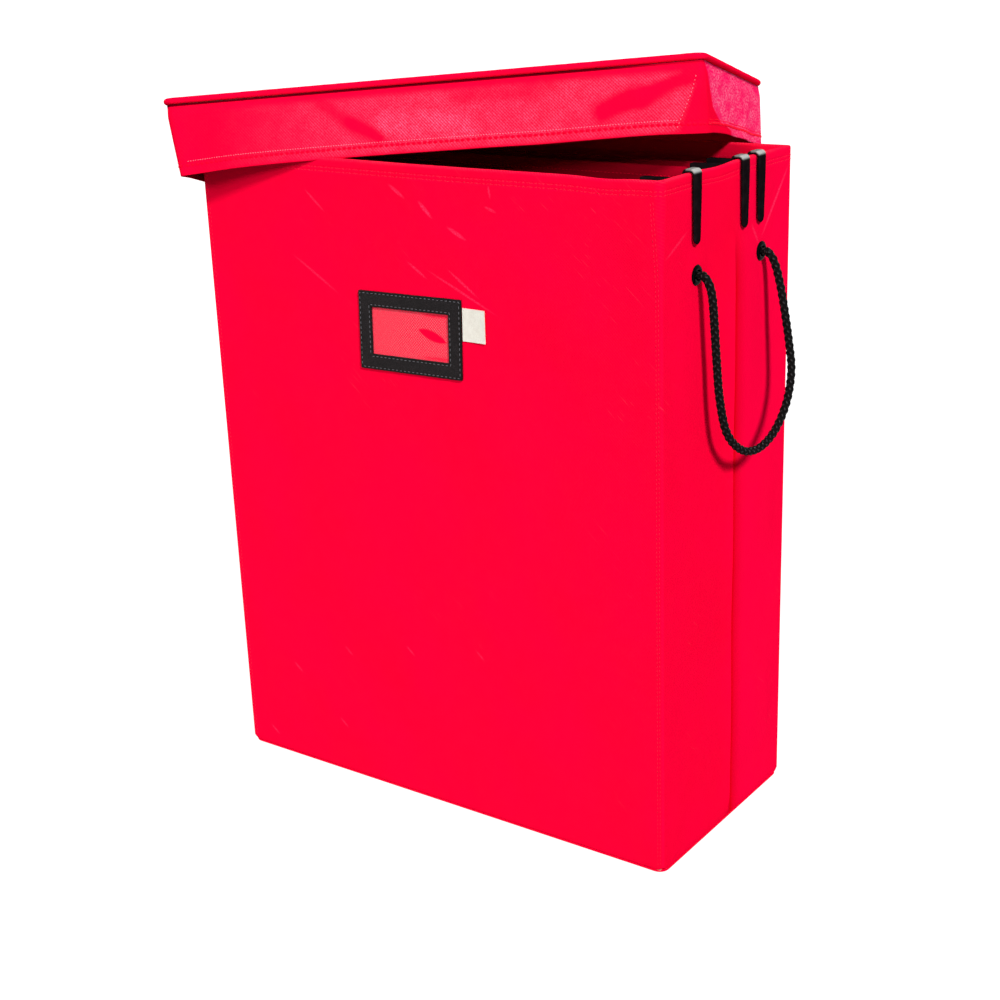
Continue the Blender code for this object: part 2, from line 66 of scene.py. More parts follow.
# Smooth random fields: their seeds, the number of waves in each, their pitches and their level
SEEDS = {"welt": 3, "rim": 5, "label": 8, "panel": 11, "skirt": 17, "cover": 21, "window": 31, "marks": 41}
field_waves = 7
field_pitches = (0.6, 1.7)
field_level = 3.2

# Straight runs of a rounded outline. The corners have the numbers between them.
FRONT, RIGHT, BACK, LEFT = 0, 2, 4, 6

# Steps of the meshes
grid_step = 0.0050
side_grid_step = 0.0025
fine_step = 0.0007
fine_span = 0.0075
rim_fine_span = 0.0135
film_step = 0.0005
cloth_step = 0.0008
curve_steps = 24
nearly_one = 0.9
turned_sides = 48
sharp_degrees = 40
bevel_limit_degrees = 35

# Box fabric
corner_radius = 0.0020
rim_corner_radius = 0.0064
rim_corner_reach = 0.0800
inner_corner_radius = 0.0012
inner_face_rows = 18
foot_round = 0.0012
foot_chamfer = 0.0010
foot_corner_lift = 0.0030
foot_corner_reach = 0.0080
foot_corner_rise = 0.0100
bottom_run_places = 25
hem_height = 0.0120
hem_step = 0.0005
hem_rows = (0.0072, 0.0100)
seam_rows = (0.0007, 0.0028)
groove_depth = 0.0003
groove_spread = 0.0008
groove_fade = (0.0040, 0.0120)
rim_round = 0.0018
rim_wave = 0.0005
rim_wave_length = 0.30
rim_sag_reach = 0.0600
wall_band = 0.0100

# Depth, place and spread of the sag in the sides' rims and in the front's
rim_side_sag = (0.0015, -0.0140, 0.0220)
rim_front_sag = (0.0011, 0.1650, 0.0180)

# Soft waves of the panels, and how they flatten out from the rim, foot, corners, label, eyelets and hooks
wave_height = 0.0006
wave_length = 0.1200
wave_rim_fade = (hem_height, 0.0600)
wave_foot_fade = (0.0040, 0.0400)
wave_corner_fade = (0.0060, 0.0300)
wave_label_fade = (0.0040, 0.0400)
eyelet_flat_fade = (0.0080, 0.0180)
hook_flat_margin = 0.0040

# Fold down the middle of each side
fold_y = 0.0058
fold_ridge = 0.0022
fold_front_spread = 0.0060
fold_back_spread = 0.0042
fold_recess = 0.0004
fold_recovery = 0.0300
fold_fade = (0.045, 0.095)
fold_rim_share = 0.15
fold_foot_reach = 0.0200

# Looks of the fabric. Each painted fold shade, darker colour down the rear slope of a side's fold where shade
# falls, has its place past the ridge, its spread and its strength.
emboss_pitch = 0.0024
emboss_cross = 0.40
# Painted sheen: pinker red on the lid skirt's right end and the rear half of each side, with pale flecks
sheen_red = (0.98, 0.0, 0.110)
sheen_fleck_share = 0.95
scuff_and_highlight_pink = (1.0, 0.050, 0.170)
scuff_turn = -0.72
scuff_size = (0.0220, 0.0012, 1.0)
fold_painted_shades = ((0.0052, 0.0030, 0.55), (0.0090, 0.0080, 0.32))
# Painted highlight, paler colour along the rim's fold
rim_highlight = 0.35
rim_highlight_spread = 0.0016
# Painted sheen on the rear half of each side
side_sheen = 0.12
side_sheen_reach = 0.0200
# Painted shade on the wall's inside face, deeper below the rim, and on the lid skirt's inside face
inside_margin = 0.0008
inside_shade_fade = (0.0040, 0.0300)

# Colours: plain, pale and deep for the fabrics, and the two ends of a range for the rest
panel_tones = ((0.98, 0.0, 0.038), (1.0, 0.10, 0.17), (0.95, 0.0, 0.032))
lid_tones = ((0.98, 0.0, 0.036), (0.99, 0.15, 0.30), (0.95, 0.0, 0.030))
divider_tones = ((0.40, 0.0, 0.014), (0.50, 0.04, 0.07), (0.32, 0.0, 0.010))
# Painted shade, multiplied into the fabric's colour: down the fold's rear slope, under the lid's welt and on inside
# faces
fabric_painted_shades = (("fold", (0.72, 0.0, 0.0)), ("crease", (0.10, 0.0, 0.10)), ("inside", (0.22, 0.0, 0.40)))
card_tones = ((0.40, 0.33, 0.25), (0.28, 0.22, 0.16))
leather_tones = ((0.011, 0.008, 0.009), (0.020, 0.015, 0.017))
leather_edge_tone = (0.002, 0.003, 0.002)
leather_grain_tone = (0.003, 0.002, 0.002)
bend_highlight_grey = (0.55, 0.57, 0.55)
# Rope: two yarn tones, and the painted shade of the gaps between strands
yarn_tones = ((0.006, 0.005, 0.005), (0.058, 0.055, 0.058))
yarn_gap_shade = (0.0015, 0.0012, 0.0012)
film_tones = ((1.0, 0.34, 0.42), (1.0, 0.42, 0.50))
tag_tones = ((0.88, 0.85, 0.76), (0.81, 0.77, 0.68))
tag_fold_tone = (0.95, 0.62, 0.60)

# Materials: roughness and specular level, depth and strength of the bump, scale and detail of each noise,
# and the values that each ramp runs from and to
SURFACES = {
    "fabric": (0.78, 0.0), "thread": (0.65, 0.03), "card": (0.88, 0.2), "leather": (0.55, 0.12),
    "black_enamel": (0.08, 0.02), "hook_black": (0.45, 0.0), "yarn": (0.40, 0.08), "film": (0.55, 0.02),
    "ribbon": (0.75, 0.25),
}
BUMPS = {
    "fabric": (0.00014, 0.5), "thread": (0.0001, 0.6), "card": (0.0001, 0.4), "leather": (0.00018, 0.6),
    "gloss": (0.00004, 0.35), "yarn": (0.00012, 0.7), "ribbon": (0.00008, 0.5),
}
NOISES = {
    "fibres": (1500.0, 3.0), "cloud": (14.0, 3.0), "mottle": (90.0, 4.0), "fine": (520.0, 2.0),
    "peel": (560.0, 4.0), "peel_patch": (85.0, 4.0), "scuff": (1.0, 2.0), "scuff_patch": (9.0, 2.0),
    "flecks": (900.0, 2.0), "twist": (2600.0, 2.0), "card_fibres": (700.0, 4.0), "specks": (1600.0, 1.0),
    "leather_cloud": (120.0, 3.0), "black_enamel": (240.0, 4.0), "black_enamel_grain": (1440.0, 2.0),
    "hook_black": (180.0, 4.0), "hook_black_grain": (1080.0, 2.0), "filaments": (4200.0, 2.0),
    "dust": (420.0, 3.0), "ribbon_cloud": (160.0, 2.0),
}
RAMPS = {
    "hatch": (-0.2, 0.95, 0.10), "fine": (0.28, 0.62, 0.30), "mottle": (0.40, 0.60, 0.65),
    "cloud": (0.32, 0.58, 0.55), "deep": (0.35, 0.70), "peel": (0.42, 0.62, 0.0, sheen_fleck_share),
    "peel_patch": (0.38, 0.58, 0.15), "full_bloom": (0.4, 1.0), "scuff": (0.65, 0.80),
    "scuff_patch": (0.54, 0.68, 0.0, 0.30), "flecks": (0.42, 0.60, 0.25), "fabric_rough": (0.3, 0.7, 0.70, 0.86),
    "twist": (0.35, 0.65), "card_fibres": (0.35, 0.70), "specks": (0.68, 0.74), "leather_grain": (0.0, 0.35),
    "leather_cloud": (0.35, 0.7), "leather_rough": (0.0, 1.0, 0.70, 0.50), "wear": (0.45, 0.75),
    "filaments": (0.3, 0.7), "crown": (0.50, 1.00), "yarn_rough": (0.0, 1.0, 0.85, 0.34), "dust": (0.4, 0.8),
    "film_rough": (0.4, 0.8, 0.45, 0.65), "film_hatch": (0.50, 1.0, 0.0, 0.32),
    "film_plain": (0.0, 1.0, 0.065, 0.0), "haze": (0.3, 0.7, 0.0, 0.03), "ribbon_cloud": (0.3, 0.7),
}
hatch_height, fibre_height = 0.7, 0.8
wide_scale = (0.5, 1.0, 1.0)
card_fibre_scale = (1.0, 1.0, 0.15)
filament_scale = (1.0, 0.35, 1.0)
leather_cell_scale = 1150.0
thread_shade = 0.85
speck_shade = 0.4
wear_growth, wear_lift = 1.6, 0.001
wear_rough = (0.3, 0.7, 0.8, 1.35)
stroke_edge = (0.3, 1.7)
stroke_ramp_end = 0.5

# Pale lines on the fabric: start, end, half width and strength. The front's are scuffs, with places along x and up.
# Those of the right side are painted highlights along where hooks and eyelets pull at it, with places along y and
# up.
front_strokes = (
    ((0.0090, 0.4446), (0.0761, 0.4144), 0.0012, 0.40),
    ((-0.0197, 0.5049), (-0.0036, 0.4943), 0.0018, 0.45),
    ((0.0075, 0.4943), (0.0204, 0.4814), 0.0020, 0.60),
    ((0.0320, 0.4772), (0.0503, 0.4678), 0.0018, 0.55),
    ((-0.1033, 0.4961), (-0.0828, 0.4785), 0.0013, 0.35),
    ((-0.1227, 0.4454), (-0.0723, 0.4157), 0.0013, 0.30),
    ((-0.0085, 0.4490), (0.0122, 0.4360), 0.0013, 0.40),
    ((0.0293, 0.4464), (0.0589, 0.4258), 0.0013, 0.40),
    ((0.0673, 0.4940), (0.0784, 0.4899), 0.0014, 0.40),
    ((0.0724, 0.5097), (0.0736, 0.4987), 0.0012, 0.40),
    ((-0.1540, 0.0895), (-0.1434, 0.0808), 0.0013, 0.35),
    ((-0.0955, 0.1181), (-0.0854, 0.1096), 0.0012, 0.35),
    ((-0.0287, 0.1337), (-0.0190, 0.1254), 0.0012, 0.35),
    ((0.0409, 0.1456), (0.0502, 0.1375), 0.0012, 0.35),
    ((-0.1879, 0.0215), (-0.1770, 0.0127), 0.0012, 0.35),
    ((-0.1057, 0.0499), (-0.0954, 0.0413), 0.0012, 0.35),
)
side_highlight_strokes = (
    ((0.0930, 0.5090), (0.0460, 0.4565), 0.0018, 0.50),
    ((0.0310, 0.4725), (0.0450, 0.4540), 0.0016, 0.35),
    ((-0.0600, 0.4820), (-0.0930, 0.4660), 0.0015, 0.30),
)

# Stitches
sewing_step = 0.0040
stitch_pitch = 0.0034
stitch_length = 0.0024
stitch_radius = 0.00024
stitch_slant = 14
stitch_sink = 0.3
inner_stitch_radius = 0.00016
seam_stitch_length = 0.8 * stitch_length
seam_stitch_radius = 0.9 * stitch_radius
tick_pitch = 0.0056
tick_length = 0.0018
tick_slant = 62
leather_stitch_pitch = 0.0039
leather_stitch_length = 0.0021
leather_stitch_radius = 0.00030
divider_stitch_radius = 0.0002

# Label and tag. The profile has distances in from the frame's edge and shares of its thickness.
LABEL_LOW, LABEL_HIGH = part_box("label_frame")
WINDOW_LOW, WINDOW_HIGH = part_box("label_window")
TAG_LOW, TAG_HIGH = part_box("sewn_tag")
label_x, label_z = (LABEL_LOW.x + LABEL_HIGH.x) / 2, (LABEL_LOW.z + LABEL_HIGH.z) / 2
label_half_x, label_half_z = (LABEL_HIGH.x - LABEL_LOW.x) / 2, (LABEL_HIGH.z - LABEL_LOW.z) / 2
label_border = 0.0122
label_corner = 0.0012
label_least_radius = 0.0006
label_rows = (0.0017, 0.0104)
label_profile = (
    (0.0, 0.0), (0.0, 0.5), (0.0002, 0.78), (0.0006, 0.92), (0.0010, 0.96), (0.0014, 0.90),
    (label_rows[0], 0.80), (0.0020, 0.90), (0.0027, 0.98), (0.0060, 1.0), (0.0094, 0.98), (0.0101, 0.90),
    (label_rows[1], 0.80), (0.0107, 0.90), (0.0112, 0.95), (0.0117, 0.92),
    (label_border - 0.0002, 0.80), (label_border, 0.5), (label_border, 0.0),
)
label_uneven = 0.0001
label_uneven_length = 0.0300
label_uneven_level = 0.6
label_sewing_level = 0.86
label_edge_fade = (0.0012, 0.0024)
label_side_lean = 0.026
label_top_lean = 0.018
tag_lift = 0.0016
tag_lift_power = 1.5
tag_lift_low = 0.7
tag_lift_growth = 0.5
tag_fold_fade = (0.965, 0.985)
tag_thickness = 0.0004
weave_pitch = 0.0006

# Window film, in shares of its width and height: a leaf-shaped patch, and two creases with their height,
# spread and the span over which they begin
film_thickness = 0.0002
film_swell = 0.00010
film_swell_length = 0.8
leaf_span = (0.60, 0.92)
leaf_height = 0.60
leaf_fall = 0.17
leaf_half = 0.085
leaf_taper = 0.7
leaf_edge = (-0.01, 0.025)
film_creases = ((0.880, 0.030, (0.60, 0.72)), (0.115, 0.026, (0.62, 0.74)))
film_crease_share = 0.8
film_line_fade = (0.15, 0.45)
film_line_lean = 0.3

# Rope: distance out, place along the side and height, as the right loop hangs
rope_radius = 0.0032
rope_axis_out = 0.0055
rope_route = (
    (0.0053, -0.0480, 0.4490),
    (0.0098, -0.0484, 0.4437),
    (0.0128, -0.0488, 0.4337),
    (0.0142, -0.0482, 0.4146),
    (0.0150, -0.0465, 0.3916),
    (0.0165, -0.0440, 0.3615),
    (0.0192, -0.0375, 0.3350),
    (0.0232, -0.0215, 0.3188),
    (0.0262, -0.0010, 0.3155),
    (0.0281, 0.0195, 0.3235),
    (0.0290, 0.0361, 0.3410),
    (0.0277, 0.0455, 0.3626),
    (0.0240, 0.0480, 0.3837),
    (0.0198, 0.0478, 0.4080),
    (0.0152, 0.0478, 0.4290),
    (0.0103, 0.0480, 0.4430),
    (0.0053, 0.0480, 0.4490),
)
rope_sides = 60
rope_ring_step = 0.00055
braid_strands = 4
braid_cell = 0.0054
braid_relief_share = 0.34
braid_relief_power = 0.7
braid_over_powers = (0.9, 0.4)
braid_gleam_powers = (4.0, 0.6)
knot_rope_radius = 0.0029
knot_turn_radius = 0.0037
knot_turns = 2.0
knot_places = 60
knot_stride = 3
knot_swell_power = 0.35
knot_near = 0.0095
knot_far = 0.0170
knot_neck = 0.0060
knot_tail = 0.0012

# Eyelets and washers. A section has radii and heights over the level that is named.
eyelet_place_y = 0.0480
eyelet_height = 0.4490
eyelet_hole = 0.0050
eyelet_bore_length = 0.0300
eyelet_bore_sides = 32
flange_thickness = 0.0014
washer_thickness = 0.0008
lip_thickness = 0.0008
eyelet_section = (
    (0.0037, "lip", 0.0003), (0.0037, "flange", -0.0009), (0.0039, "flange", -0.0003),
    (0.0044, "flange", 0.0), (0.0052, "flange", -0.00002), (0.0061, "flange", -0.00025),
    (0.0069, "flange", -0.0008), (0.0073, "panel", 0.0002), (0.0072, "panel", 0.0),
    (0.0046, "panel", 0.0), (0.0046, "washer", 0.0), (0.0056, "washer", 0.0),
    (0.0058, "washer", -0.0003), (0.0055, "washer", -0.0007), (0.0047, "lip", 0.0), (0.0040, "lip", 0.0),
)
washer_section = (
    (0.0049, "top", 0.0), (0.0067, "top", 0.0), (0.0069, "top", -0.0003),
    (0.0069, "bottom", 0.0002), (0.0066, "bottom", 0.0), (0.0049, "bottom", 0.0),
)

# Hooks
hook_width = 0.0100
hook_tip_width = 0.0086
hook_thickness = 0.0020
hook_tip_thickness = 0.0013
hook_taper_reach = 0.0400
hook_tip_least = 0.01
hook_bend_radius = 0.0025
hook_bend_margin = 0.0010
hook_stand_off = 0.0010
hook_outer_drop = 0.0490
hook_inner_drop = 0.0400
hook_leg_places = (40, 24)
hook_edge_round = 0.0005
hook_edge_share = 0.8
# Painted highlight on the outer face of the bend: its strength, and the turn and lean over which it shows
hook_bend_gleam = 0.65
hook_gleam_turn = (0.05, 0.60)
hook_gleam_lean = (-0.35, 0.35)
clip_reach = 0.0350
clip_height = 0.0340
clip_cheek = 0.0014
clip_web = 0.0030
clip_round = 0.0005
clip_slot_start = 0.1000

# Dividers
divider_half_width = 0.1870
divider_thickness = 0.0030
divider_top_drop = 0.0085
divider_corner_radius = 0.0120
divider_edge = ((0.0011, 1.0), (0.0004, 0.75), (0.0, 0.0))
binding_width = 0.0095
binding_slope = 0.0006
binding_step = 0.0003
binding_sewing_inset = 0.0020
binding_sewing_radius = 0.0080

# Lid, in the frame of its own top
lid_length = 0.4300
lid_depth = 0.2180
lid_height = 0.0512
lid_place = (-0.0440, 0.0390, rim_height + 0.0376)
lid_tilt_degrees = (-10.96, -4.26, 16.88)
lid_corner_radii = np.array([0.0090, 0.0170, 0.0090, 0.0110])
welt_radius = 0.0025
welt_sides = 14
welt_dent = 0.04
welt_dent_length = 0.0200
cover_thickness = 0.0010
cover_crown = 0.0010
cover_crown_reach = 0.0500
cover_wave = 0.0004
cover_wave_length = 0.1100
plate_steps = 16
plate_least_radius = 0.0005
plate_edge_round = 0.0006

# Skirt of the lid. Its rows are counted down to the crease, past it, down to the hem and over the hem.
skirt_setback = 0.0015
skirt_thickness = 0.0012
skirt_inside_share = 0.75
skirt_top_radii = np.array([0.0045, 0.0120, 0.0045, 0.0090])
skirt_hem_radii = np.array([0.0230, 0.0140, 0.0100, 0.0100])
skirt_flare_power = 1.5
skirt_row_counts = (4, 5, 26, 20)
skirt_tuck = 0.0012
skirt_tuck_reach = 0.0100
skirt_ripple = 0.0010
skirt_ripple_length = 0.0750
skirt_ripple_shears = (0.6, 0.1)
skirt_ripple_power = 1.3
skirt_proud = 0.0020
skirt_groove_share = 0.2
hem_corner_pull = 0.0090
hem_corner_droop = 0.0045
hem_back_swing = 0.0110
hem_front_sag = 0.0032
hem_front_sag_fade = (0.68, 0.97)
hem_left_sag = 0.0085
hem_left_sag_spreads = (0.10, 0.20)
hem_left_sag_back = 0.28
droop_power = 6
crease_height = 0.0015
crease_band = (0.9, 1.1)
# The crease mask paints shadow on the band just under the welt, less towards the right end
crease_edge = 0.0003
crease_end_fade = (0.14, 0.20)
crease_end_share = 0.5
dart_top = 0.2136
dart_slope = 0.436
dart_height = 0.0007
dart_spread = 0.0030
dart_fades = ((0.0, 0.5), (0.85, 1.0))
dart_start = 0.0095
dart_margin = 0.0030
dart_places = 24

# Rows of stitches: height over the hem, pitch, length, radius and rise. The dart has pitch, length and radius.
skirt_hem_rows = (0.0071, 0.0098)
skirt_sewing = (
    (skirt_hem_rows[0], 0.0043, 0.0031, 0.00115, 0.35),
    (skirt_hem_rows[1], 0.0021, 0.0010, 0.00030, 1.0),
)
dart_sewing = (0.0028, 0.0011, 0.00025)
pale_row_start = -0.1950

# Marks on the skirt. A stroke has its start, end, half width and change of paleness.
skirt_pale = 0.50
skirt_pale_fade = (-0.175, -0.050)
skirt_top_fade = (0.0040, 0.0100)
mark_drift = 0.0020
mark_drift_length = 0.0300
hem_marks = ((skirt_hem_rows[0], 0.0012, 0.35), (0.0, 0.0020, 1.0))
# Painted sheen on the skirt's right end: where it begins at each fall, and the turn and fade over which it shows
sheen_falls = (0.0, 0.0157, 0.0319, 0.0427, 0.0476)
sheen_edges = (-0.1050, -0.0960, -0.0850, -0.0600, -0.0250)
sheen_turn = (0.45, 0.75)
sheen_fade = (0.0, 0.0060)
sheen_pale_share = 0.5
corner_mark_fade = (-0.002, 0.002)
skirt_strokes = (
    ((-0.0760, 0.0110), (-0.0320, 0.0400), 0.0062, -0.36),
    ((-0.0560, 0.0240), (-0.0320, 0.0400), 0.0040, -0.20),
    ((0.1400, 0.0320), (0.2061, 0.0098), 0.0068, -0.60),
    ((0.1430, 0.0290), (0.1700, 0.0220), 0.0060, -0.30),
    ((0.0300, 0.0120), (0.1000, 0.0110), 0.0050, -0.30),
    ((-0.0250, 0.0260), (0.0350, 0.0330), 0.0080, 0.35),
    ((0.1500, 0.0120), (0.1950, 0.0080), 0.0020, 0.25),
)

# Camera
camera_place = (0.76905, -1.05528, 0.69040)
camera_yaw_degrees = 36.043
camera_pitch_degrees = 19.280
camera_roll_degrees = -2.073
camera_lens = 60.68
camera_sensor = 36.0

# Floor and light. A lamp has its azimuth, elevation, strength and angle.
floor_size = 60.0
floor_drop = 0.0002
floor_tone = 0.24
floor_glow = 0.85
floor_roughness = 0.9
sky_level = 0.14
LAMPS = (
    ("side_key", 57, 34.5, 3.45, 8),
    ("front_key", 4, 23, 1.20, 14),
    ("back_light", 186, 34, 1.9, 26),
    ("left_fill", -100, 30, 1.9, 40),
)


# Numbers and shapes

def smooth_step(low, high, value):
    """Zero below the low value and one above the high one, with a smooth rise between."""
    share = np.clip((value - low) / (high - low), 0.0, 1.0)
    return share * share * (3.0 - 2.0 * share)


def bell(value, spread):
    """One at zero, falling off on both sides over the spread."""
    return np.exp(-(value / spread) ** 2)


def ripple(a, b, seed, wavelength):
    """A smooth field of about plus and minus one over two lengths."""
    draw = np.random.default_rng(seed)
    total = np.zeros(np.broadcast(a, b).shape)
    for _ in range(field_waves):
        angle = draw.uniform(0, math.tau)
        pitch = wavelength * draw.uniform(*field_pitches)
        phase = draw.uniform(0, math.tau)
        total += np.sin(math.tau * (a * math.cos(angle) + b * math.sin(angle)) / pitch + phase)
    return total / field_level


def spaced(length, fine_places, fine_span, plain_step=grid_step):
    """Places along a length, close together near the fine places."""
    places = [0.0]
    while places[-1] < length - fine_step / 2:
        near = any(abs(places[-1] - place) < fine_span for place in fine_places)
        step = fine_step if near else plain_step
        if not near:
            ahead = [place - fine_span - places[-1] for place in fine_places]
            ahead = [gap for gap in ahead if gap > fine_step / 2]
            step = min([step, *ahead])
        places.append(min(places[-1] + step, length))
    places[-1] = length
    return np.array(places)


def outline(segment, share, half_x, half_y, radii):
    """Points and outward normals on a rounded rectangle.

    Segments are the front, right, back and left runs, and 1, 3, 5 and 7 the corners that follow them.
    Share runs along the segment, and radii are those of the four corners.
    """
    segment, share = np.broadcast_arrays(np.asarray(segment), np.asarray(share, float))
    radius = np.broadcast_to(radii, 4)
    corners = np.array([(1, -1), (1, 1), (-1, 1), (-1, -1)])
    centres = corners * (np.array([half_x, half_y]) - radius[:, None])
    turns = np.radians([-90, 0, 90, 180])
    normals = np.stack([np.cos(turns), np.sin(turns)], -1)
    quarter = segment // 2
    before = quarter - 1
    start = centres[before] + normals[quarter] * radius[before][..., None]
    end = centres[quarter] + normals[quarter] * radius[quarter][..., None]
    straight = start + (end - start) * share[..., None]
    angle = turns[quarter] + share * math.pi / 2
    spoke = np.stack([np.cos(angle), np.sin(angle)], -1)
    curved = centres[quarter] + spoke * radius[quarter][..., None]
    is_corner = (segment % 2 == 1)[..., None]
    return np.where(is_corner, curved, straight), np.where(is_corner, spoke, normals[quarter])


def even_places(_, length):
    """Places on a run at the plain step."""
    return spaced(length, [], 0.0)


def columns_round(half_x, half_y, radius, places_on_run=even_places, corner_steps=6):
    """Segment and share of each column round an outline, in order."""
    segments, shares = [], []
    for segment in range(8):
        if segment % 2:
            part = np.arange(corner_steps) / corner_steps
        else:
            length = 2 * ((half_x, half_y)[segment // 2 % 2] - radius)
            part = places_on_run(segment, length)[:-1] / length
        segments.append(np.full(len(part), segment))
        shares.append(part)
    return np.concatenate(segments), np.concatenate(shares)


def ring_lengths(points):
    """Distance of each point of a closed ring from the first, and the whole way round at the end."""
    closed = np.concatenate([points, points[:1]])
    return np.concatenate([[0], np.cumsum(np.linalg.norm(np.diff(closed, axis=0), axis=1))])


def uv_grid(across, along):
    """UV places of a grid from its distances across and along."""
    return np.stack(np.meshgrid(across, along), -1)


# Meshes

def finish_mesh(name, mesh, material, smooth_degrees=sharp_degrees):
    """Face the mesh outward, shade it and make its object."""
    shell = bmesh.new()
    shell.from_mesh(mesh)
    bmesh.ops.recalc_face_normals(shell, faces=shell.faces)
    shell.to_mesh(mesh)
    shell.free()
    mesh.materials.append(material)
    mesh.shade_smooth()
    mesh.set_sharp_from_angle(angle=math.radians(smooth_degrees))
    item = bpy.data.objects.new(name, mesh)
    bpy.context.scene.collection.objects.link(item)
    return item


def grid_object(name, grid, uv, material, caps=False, masks=None):
    """A mesh over rows and columns of points, which closes where the UV grid has one more."""
    rows, columns = grid.shape[:2]
    row = np.arange(uv.shape[0] - 1)
    column = np.arange(uv.shape[1] - 1)
    r, c = (index.ravel() for index in np.meshgrid(row, column, indexing="ij"))
    corners = ((r, c), (r, c + 1), (r + 1, c + 1), (r + 1, c))
    faces = np.stack([(i % rows) * columns + j % columns for i, j in corners], axis=1).tolist()
    places = np.stack([uv[i, j] for i, j in corners], axis=1).reshape(-1, 2)
    if caps:
        faces.append(list(range(columns)))
        faces.append(list(range((rows - 1) * columns, rows * columns)))
        places = np.concatenate([places, uv[0, :columns], uv[-1, :columns]])
    mesh = bpy.data.meshes.new(name)
    mesh.from_pydata(grid.reshape(-1, 3).tolist(), [], faces)
    layer = mesh.uv_layers.new(name="metres")
    layer.data.foreach_set("uv", places.astype(np.float32).ravel())
    for mask, values in (masks or {}).items():
        attribute = mesh.attributes.new(mask, "FLOAT", "POINT")
        attribute.data.foreach_set("value", values.astype(np.float32).ravel())
    return finish_mesh(name, mesh, material)


def frames_along(path):
    """Tangent and two steady side directions at each point of a path."""
    path = np.asarray(path, float)
    tangent = np.gradient(path, axis=0)
    tangent /= np.linalg.norm(tangent, axis=1)[:, None]
    side = np.zeros_like(path)
    start = np.array([0.0, 1.0, 0.0]) if abs(tangent[0, 1]) < nearly_one else np.array([0.0, 0.0, 1.0])
    side[0] = np.cross(tangent[0], start)
    side[0] /= np.linalg.norm(side[0])
    for index in range(1, len(path)):
        carried = side[index - 1] - tangent[index] * (side[index - 1] @ tangent[index])
        side[index] = carried / np.linalg.norm(carried)
    return tangent, side, np.cross(tangent, side)


def smooth_route(points, step):
    """Points an even step apart on a smooth curve through the given points."""
    places = np.asarray(points, float)
    padded = np.concatenate([[2 * places[0] - places[1]], places, [2 * places[-1] - places[-2]]])
    t = np.linspace(0, 1, curve_steps, endpoint=False)[:, None]
    dense = []
    for before, start, end, after in zip(padded, padded[1:], padded[2:], padded[3:]):
        bend = (2 * before - 5 * start + 4 * end - after) * t ** 2
        twist = (3 * start - before - 3 * end + after) * t ** 3
        dense.append(start + ((end - before) * t + bend + twist) / 2)
    dense = np.concatenate([*dense, places[-1:]])
    run = np.concatenate([[0], np.cumsum(np.linalg.norm(np.diff(dense, axis=0), axis=1))])
    even = np.linspace(0, run[-1], max(2, round(run[-1] / step) + 1))
    return np.stack([np.interp(even, run, dense[:, axis]) for axis in range(3)], axis=1)


def braided_tube(name, route, radius, material):
    """A round braid with round ends: two sets of strands that pass over and under each other."""
    step = np.linalg.norm(route[1] - route[0])
    cap = np.arange(step, radius, step)[::-1]
    first = (route[0] - route[1]) / step
    last = (route[-1] - route[-2]) / step
    path = np.concatenate([route[0] + first * cap[:, None], route, route[-1] + last * cap[::-1, None]])
    taper = np.sqrt(1 - (cap / radius) ** 2)
    size = np.concatenate([taper, np.ones(len(route)), taper[::-1]])
    _, side, up = frames_along(path)
    run = np.arange(len(path)) * step
    theta = np.arange(rope_sides) * math.tau / rope_sides
    one = (braid_strands * theta[None, :] + math.tau * run[:, None] / braid_cell) / math.tau
    two = (braid_strands * theta[None, :] - math.tau * run[:, None] / braid_cell) / math.tau
    first_over = (np.floor(one) + np.floor(two)) % 2 < 1
    across_one = np.abs(np.sin(math.pi * one))
    across_two = np.abs(np.sin(math.pi * two))

    def strand(own, other):
        """Share of a strand's crown, from the powers across it and across the strands that it crosses."""
        return np.where(
            first_over, across_one ** own * across_two ** other, across_two ** own * across_one ** other,
        )

    over = np.clip(strand(*braid_over_powers), 0, 1)
    reach = radius * size[:, None] * (1 - braid_relief_share * (1 - over ** braid_relief_power))
    spokes = side[:, None, :] * np.cos(theta)[None, :, None] + up[:, None, :] * np.sin(theta)[None, :, None]
    grid = path[:, None, :] + spokes * reach[:, :, None]
    across = np.arange(rope_sides + 1) * math.tau * radius / rope_sides
    # The crown mask paints the strands' crowns lighter than the gaps
    masks = {"crown": strand(*braid_gleam_powers)}
    return grid_object(name, grid, uv_grid(across, run), material, caps=True, masks=masks)


def turned(name, profile, place, direction, material, sides=turned_sides):
    """A turned piece about a direction: radius and distance along it, round a closed profile."""
    profile = np.asarray(profile, float)
    axis = np.asarray(direction, float)
    _, side, up = frames_along(np.array([place, np.asarray(place) + axis]))
    theta = np.arange(sides) * math.tau / sides
    spokes = side[0] * np.cos(theta)[:, None] + up[0] * np.sin(theta)[:, None]
    grid = np.asarray(place) + axis * profile[:, 1][:, None, None] + spokes * profile[:, 0][:, None, None]
    across = np.arange(sides + 1) * math.tau * profile[:, 0].max() / sides
    return grid_object(name, grid, uv_grid(across, ring_lengths(profile)), material)


def arc(centre, radius, start_degrees, end_degrees, steps=6):
    """Points on an arc, both ends included."""
    angles = np.radians(np.linspace(start_degrees, end_degrees, steps + 1))
    return [(centre[0] + radius * math.cos(a), centre[1] + radius * math.sin(a)) for a in angles]


